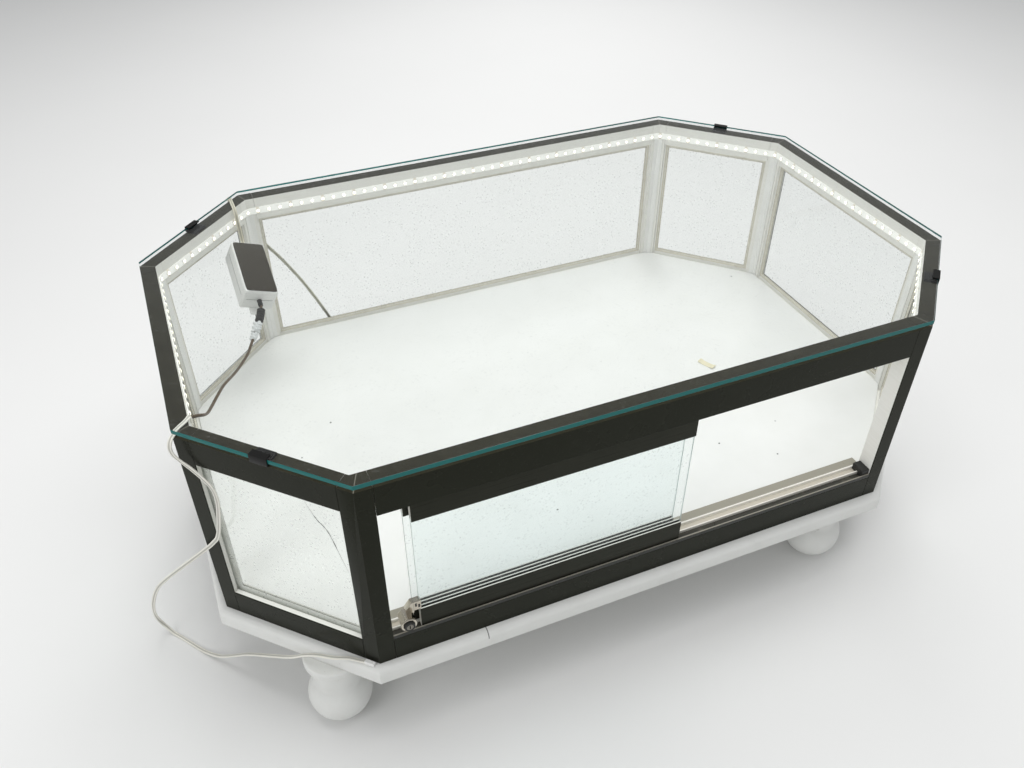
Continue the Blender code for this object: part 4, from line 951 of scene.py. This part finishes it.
boardPath = stripRoute()
boardSection = (flatSection[:, 0] * stripBoard["wide"], (flatSection[:, 1] - 0.5) * stripBoard["thick"],
                flatSection[:, 0] + 0.5)
boardGuides = [(0, (0, 0, 1)), (9, (0, 0, 1))]
board = makeLead("stripBoard", boardPath, boardGuides, boardSection, "strip", smooth=30)
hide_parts("led_strip")


# one chip: a low box with sloped sides and a shallow round window, repeated along the board
def makeChips():
    s = stripBoard
    at = np.arange(s["pitch"] / 2, pathLength(boardPath)[-1], s["pitch"])
    middle = pointsAt(boardPath, at)
    along = unitRows(pointsAt(boardPath, at + 1e-4) - pointsAt(boardPath, at - 1e-4))
    inward = np.stack([-along[:, 1], along[:, 0], np.zeros(len(at))], axis=1)
    b, t, h = s["chip"] / 2, s["chip"] / 2 * s["chipSlope"], s["chipHigh"]
    box = [(-b, -b, 0), (b, -b, 0), (b, b, 0), (-b, b, 0), (-t, -t, h), (t, -t, h), (t, t, h), (-t, t, h)]
    around = np.arange(len(box))  # a window's ring has as many points as the box
    turn = around * 2 * math.pi / len(box)
    rings = [np.c_[r * np.cos(turn), r * np.sin(turn), h + high + 0 * turn] for r, high in s["window"]]
    local = np.concatenate([np.array(box)] + rings)
    boxFaces = [[0, 3, 2, 1], [4, 5, 6, 7], [0, 1, 5, 4], [1, 2, 6, 5], [2, 3, 7, 6], [3, 0, 4, 7]]
    ahead = np.roll(around, -1)
    first, second, third = [len(box) * ring for ring in (1, 2, 3)]
    windowFaces = []
    for lower, upper in ((first, second), (second, third)):
        windowFaces += np.stack([lower + around, lower + ahead, upper + ahead, upper + around], 1).tolist()
    caps = np.stack([third + around, np.flip(first + around)])
    depth = inward[:, None] * (local[:, 2:] + s["thick"] / 2)
    points = middle[:, None] + along[:, None] * local[:, :1] + depth + np.array([0, 0, 1]) * local[:, 1:2]
    offset = np.arange(len(at))[:, None, None] * len(local)
    faces = (boxFaces + windowFaces + offset).reshape(-1, 4).tolist()
    faces += (caps + offset).reshape(-1, len(box)).tolist()
    kinds = np.repeat([0, 1], [len(boxFaces), len(windowFaces)])
    kinds = np.concatenate([np.tile(kinds, len(at)), np.ones(len(caps) * len(at), int)])
    mesh = bpy.data.meshes.new("stripChips")
    mesh.from_pydata(points.reshape(-1, 3).tolist(), [], faces)
    mesh.materials.append(finish["chip"])
    mesh.materials.append(finish["glow"])
    mesh.polygons.foreach_set("material_index", kinds.astype(np.int32))
    shape = bmesh.new()
    shape.from_mesh(mesh)
    bmesh.ops.recalc_face_normals(shape, faces=shape.faces)
    shape.to_mesh(mesh)
    shape.free()
    linkPiece("stripChips", mesh, "root")
    return len(at)


print("strip chips:", makeChips())

# driver: bare label plate on its upper face, seam line round its sides
driverSettings = {"top": (-0.36999, 0.22303, 0.3752), "tilt": 17, "roll": 23, "wide": 0.0494, "long": 0.0996}
labelSettings = {"halfWide": 0.0232, "halfLong": 0.0484, "thick": 0.0004, "corner": 26.0,
                 "rows": [(1.0, 0.0), (1.0, 0.6), (0.992, 1.0)]}  # shares of the outline and the thickness
seamSettings = {"high": -0.0175, "tall": 0.0007, "proud": 0.0002, "sunk": 0.0006, "round": 14.0}
bushSettings = {"mains": (0.0100, 0.0042), "feed": (0.0110, 0.0034)}  # length, radius


# rounded rectangle: a superellipse, the power setting how square its corners are
def roundedLoop(halfX, halfY, power, steps=64):
    turn = fullTurn(steps)
    c, s = np.cos(turn), np.sin(turn)
    scale = (np.abs(c) ** power + np.abs(s) ** power) ** (-1 / power)
    return np.stack([halfX * c * scale, halfY * s * scale], axis=1)


tilt = Matrix.Rotation(math.radians(driverSettings["tilt"]), 4, "X")
roll = Matrix.Rotation(math.radians(driverSettings["roll"]), 4, "Y")
driverPlace = Matrix.Translation(driverSettings["top"]) @ tilt @ roll


def makeLabel():
    s = labelSettings
    loop = roundedLoop(s["halfWide"], s["halfLong"], s["corner"])
    rows = np.array(s["rows"]) * [1.0, s["thick"]]
    flat = loop * rows[:, None, :1]
    grid = placeGrid(gridOf(flat[..., 0], flat[..., 1], rows[:, 1:]), driverPlace)
    makePiece("driverLabel", [(grid, flat, True)], "label")


def makeSeam():
    s = seamSettings
    wide, deep = driverSettings["wide"] / 2, driverSettings["long"] / 2
    steps = np.where(flatSection[:, 0] < 0, -s["sunk"], s["proud"])
    loops = np.stack([roundedLoop(wide + out, deep + out, s["round"]) for out in steps], axis=1)
    heights = s["high"] + s["tall"] * (flatSection[:, 1] - 0.5)
    grid = placeGrid(gridOf(loops[..., 0], loops[..., 1], heights), driverPlace)
    makePiece("driverSeam", [(grid, None, False)], "seam")


makeLabel()
makeSeam()
sleeveOn("mainsBush", mainsPath, 0.0, *bushSettings["mains"], "casing", "driver_white", ribs=2)
sleeveOn("feedBush", feedPath, 0.0, *bushSettings["feed"], "black", "black_plastic", ribs=2)

# push lock: turned barrel with a rolled front edge, gusset and a clamp folded round the glass edge
lockSettings = {
    "x": -0.3263, "z": 0.2099, "front": -0.3436, "back": -0.3245, "radius": 0.0090, "bore": 0.0068,
    "lip": 0.0097, "lipFrom": 0.0006, "lipTo": 0.0022, "lipFade": 0.0032, "backRound": 0.0008, "edge": 0.0004,
    "clampLeft": -0.3173, "clampRight": -0.3075, "glassEdge": -0.3096, "clampFront": -0.3333,
    "clampBack": -0.3255, "sheet": 0.0016, "clampLow": 0.2198, "clampTop": 0.2345,
    "gussetLow": 0.2164, "gussetIn": 0.001, "gussetOut": 0.0022, "gussetBend": 0.45,
    "slots": [(-0.3150, 0.2262), (-0.3112, 0.2235)], "slotWide": 0.0022, "slotTall": 0.0055,
    "slotProud": 0.0002, "slotDeep": 0.0004,
}


def makeLock():
    s = lockSettings
    long = s["back"] - s["front"]
    profile = [
        (s["bore"], 0.0), (s["radius"], 0.0), (s["lip"], s["lipFrom"]), (s["lip"], s["lipTo"]),
        (s["radius"], s["lipFade"]), (s["radius"], long - s["backRound"]),
        (s["radius"] - s["backRound"], long), (s["bore"], long), (s["bore"], 0.0),
    ]
    place = Matrix.Translation((s["x"], s["front"], s["z"])) @ Matrix.Rotation(math.radians(-90), 4, "X")
    left, right, edge = s["clampLeft"], s["clampRight"], s["glassEdge"]
    front, back = s["clampFront"], s["clampBack"]
    near, far = front + s["sheet"], back - s["sheet"]
    fold = [(left, front), (right, front), (right, near), (edge, near), (edge, far), (right, far),
            (right, back), (left, back)]
    low, top, inner = s["gussetLow"], s["clampTop"], left + s["gussetIn"]
    gusset = [(s["x"], low), (inner, low), (inner, top), (left - s["gussetOut"], top),
              (s["x"], low + s["gussetBend"] * (top - low))]
    grids = [
        turnGrid(profile, place), prismGrid(fold, s["clampLow"], top, (0, 1, 2)),
        prismGrid(gusset, front, back, (0, 2, 1)),
    ]
    piece = makePiece("lockHousing", grids, "chrome", body="outer_door", smooth=35)
    bevelPiece(piece, s["edge"])
    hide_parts("lock_body")
    corners = np.array([(0, 0), (1, 0), (1, 1), (0, 1)]) * [s["slotWide"], s["slotTall"]]
    levels = front - s["slotProud"], front + s["slotDeep"]
    slots = [prismGrid(corners + slot, *levels, (0, 2, 1)) for slot in s["slots"]]
    makePiece("lockSlots", slots, "black", body="outer_door")


makeLock()

# crack in the front left pane: a thin ribbon that follows its points across the outer face
crackSettings = {
    "points": [(-0.4085, -0.2822, 0.3904), (-0.4034, -0.2873, 0.3750), (-0.3993, -0.2914, 0.3650),
               (-0.3920, -0.2986, 0.3521), (-0.3849, -0.3058, 0.3193), (-0.3794, -0.3112, 0.2925)],
    "wide": 0.0012, "thick": 0.0001, "tip": 0.1, "taper": 6, "waves": 40, "wave": 0.4,
}


def makeCrack():
    s = crackSettings
    path = smoothPath(s["points"], 8)
    share = np.linspace(0, 1, len(path))
    outward = -np.append(sideInward[sideNames.index("front_left")], 0.0)
    side = unitRows(np.cross(np.gradient(path, axis=0), outward))
    # narrow at both ends, uneven between them
    wide = s["wide"] * np.minimum(1, s["taper"] * np.minimum(share, 1 - share) + s["tip"])
    wide = wide * (1 + s["wave"] * np.sin(s["waves"] * share))
    grid = (path[:, None] + side[:, None] * (wide[:, None] * flatSection[:, 0])[..., None]
            + outward * (s["thick"] * flatSection[:, 1])[None, :, None])
    makePiece("paneCrack", [(grid, None, True)], "crack")


makeCrack()

# tag left on the deck: a small sheet with its ends curled up
tagSettings = {
    "middle": (0.2745, -0.0290), "turn": -64.0, "long": 0.028, "wide": 0.010, "curl": 0.0022, "thick": 0.0004,
    "lift": 0.0001,
}


def makeTag():
    s = tagSettings
    u = np.linspace(-0.5, 0.5, 21)
    lift = s["lift"] + s["curl"] * (2 * np.abs(u)) ** 3
    turn = Matrix.Rotation(math.radians(s["turn"]), 4, "Z")
    across, up = flatSection[:, 0] * s["wide"], flatSection[:, 1] * s["thick"]
    grid = gridOf(u[:, None] * s["long"], across, lift[:, None] + up)
    grid = placeGrid(grid, Matrix.Translation((*s["middle"], case["deckTop"])) @ turn)
    makePiece("deckTag", [(grid, None, True)], "tag")


makeTag()

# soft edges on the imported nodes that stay: corners welded, then a narrow round
softEdges = {
    "post_": 0.0003, "top_rail_": 0.0003, "bottom_rail_": 0.0003, "glass_clip_": 0.0004,
    "lower_track": 0.0003, "track_stop_right": 0.0005, "top_glass": 0.0005, "outer_door_": 0.0003,
    "inner_door_": 0.0003,
}
weldWithin = 0.00002
for name, node in nodes.items():
    for start, width in softEdges.items():
        if name.startswith(start):
            weld = node.modifiers.new("corners", "WELD")
            weld.merge_threshold = weldWithin
            bevelPiece(node, width)
print("details made")

# stage
stageSettings = {"floorSize": 30.0, "world": 0.42, "worldColor": (0.97, 0.985, 1.0, 1.0)}
floorMesh = bpy.data.meshes.new("studioFloor")
side = stageSettings["floorSize"] / 2
floorCorners = [(-side, -side, 0), (side, -side, 0), (side, side, 0), (-side, side, 0)]
floorMesh.from_pydata(floorCorners, [], [(0, 1, 2, 3)])
floorMesh.materials.append(newFinish("studioFloor", Roughness=0.9))
floorTone = noiseAt(1.3, 3.0)
setInput("Base Color", mixColors(floorTone, (0.78, 0.78, 0.77), (0.82, 0.82, 0.81)))
studioFloor = bpy.data.objects.new("studioFloor", floorMesh)
scene.collection.objects.link(studioFloor)

world = bpy.data.worlds.new("studioWorld")
scene.world = world
world.use_nodes = True
sky = world.node_tree.nodes["Background"].inputs
sky["Color"].default_value = stageSettings["worldColor"]
sky["Strength"].default_value = stageSettings["world"]

lampSettings = [
    {"name": "overheadLamp", "place": (0.3, 0.2, 2.8), "aim": (0, 0, 0.3), "size": 2.6, "power": 62},
    {"name": "leftLamp", "place": (-2.6, -1.4, 1.9), "aim": (0, 0, 0.25), "size": 1.6, "power": 26},
    {"name": "backLamp", "place": (1.2, 2.6, 1.6), "aim": (0, 0, 0.3), "size": 1.6, "power": 18},
]
for settings in lampSettings:
    light = bpy.data.lights.new(settings["name"], "AREA")
    light.shape = "SQUARE"
    light.size = settings["size"]
    light.energy = settings["power"]
    lamp = bpy.data.objects.new(settings["name"], light)
    lamp.location = settings["place"]
    lamp.visible_glossy = False
    lamp.visible_transmission = False
    view = Vector(settings["aim"]) - Vector(settings["place"])
    lamp.rotation_euler = view.to_track_quat("-Z", "Y").to_euler()
    scene.collection.objects.link(lamp)
scene.view_settings.view_transform = "Standard"
print("stage set")
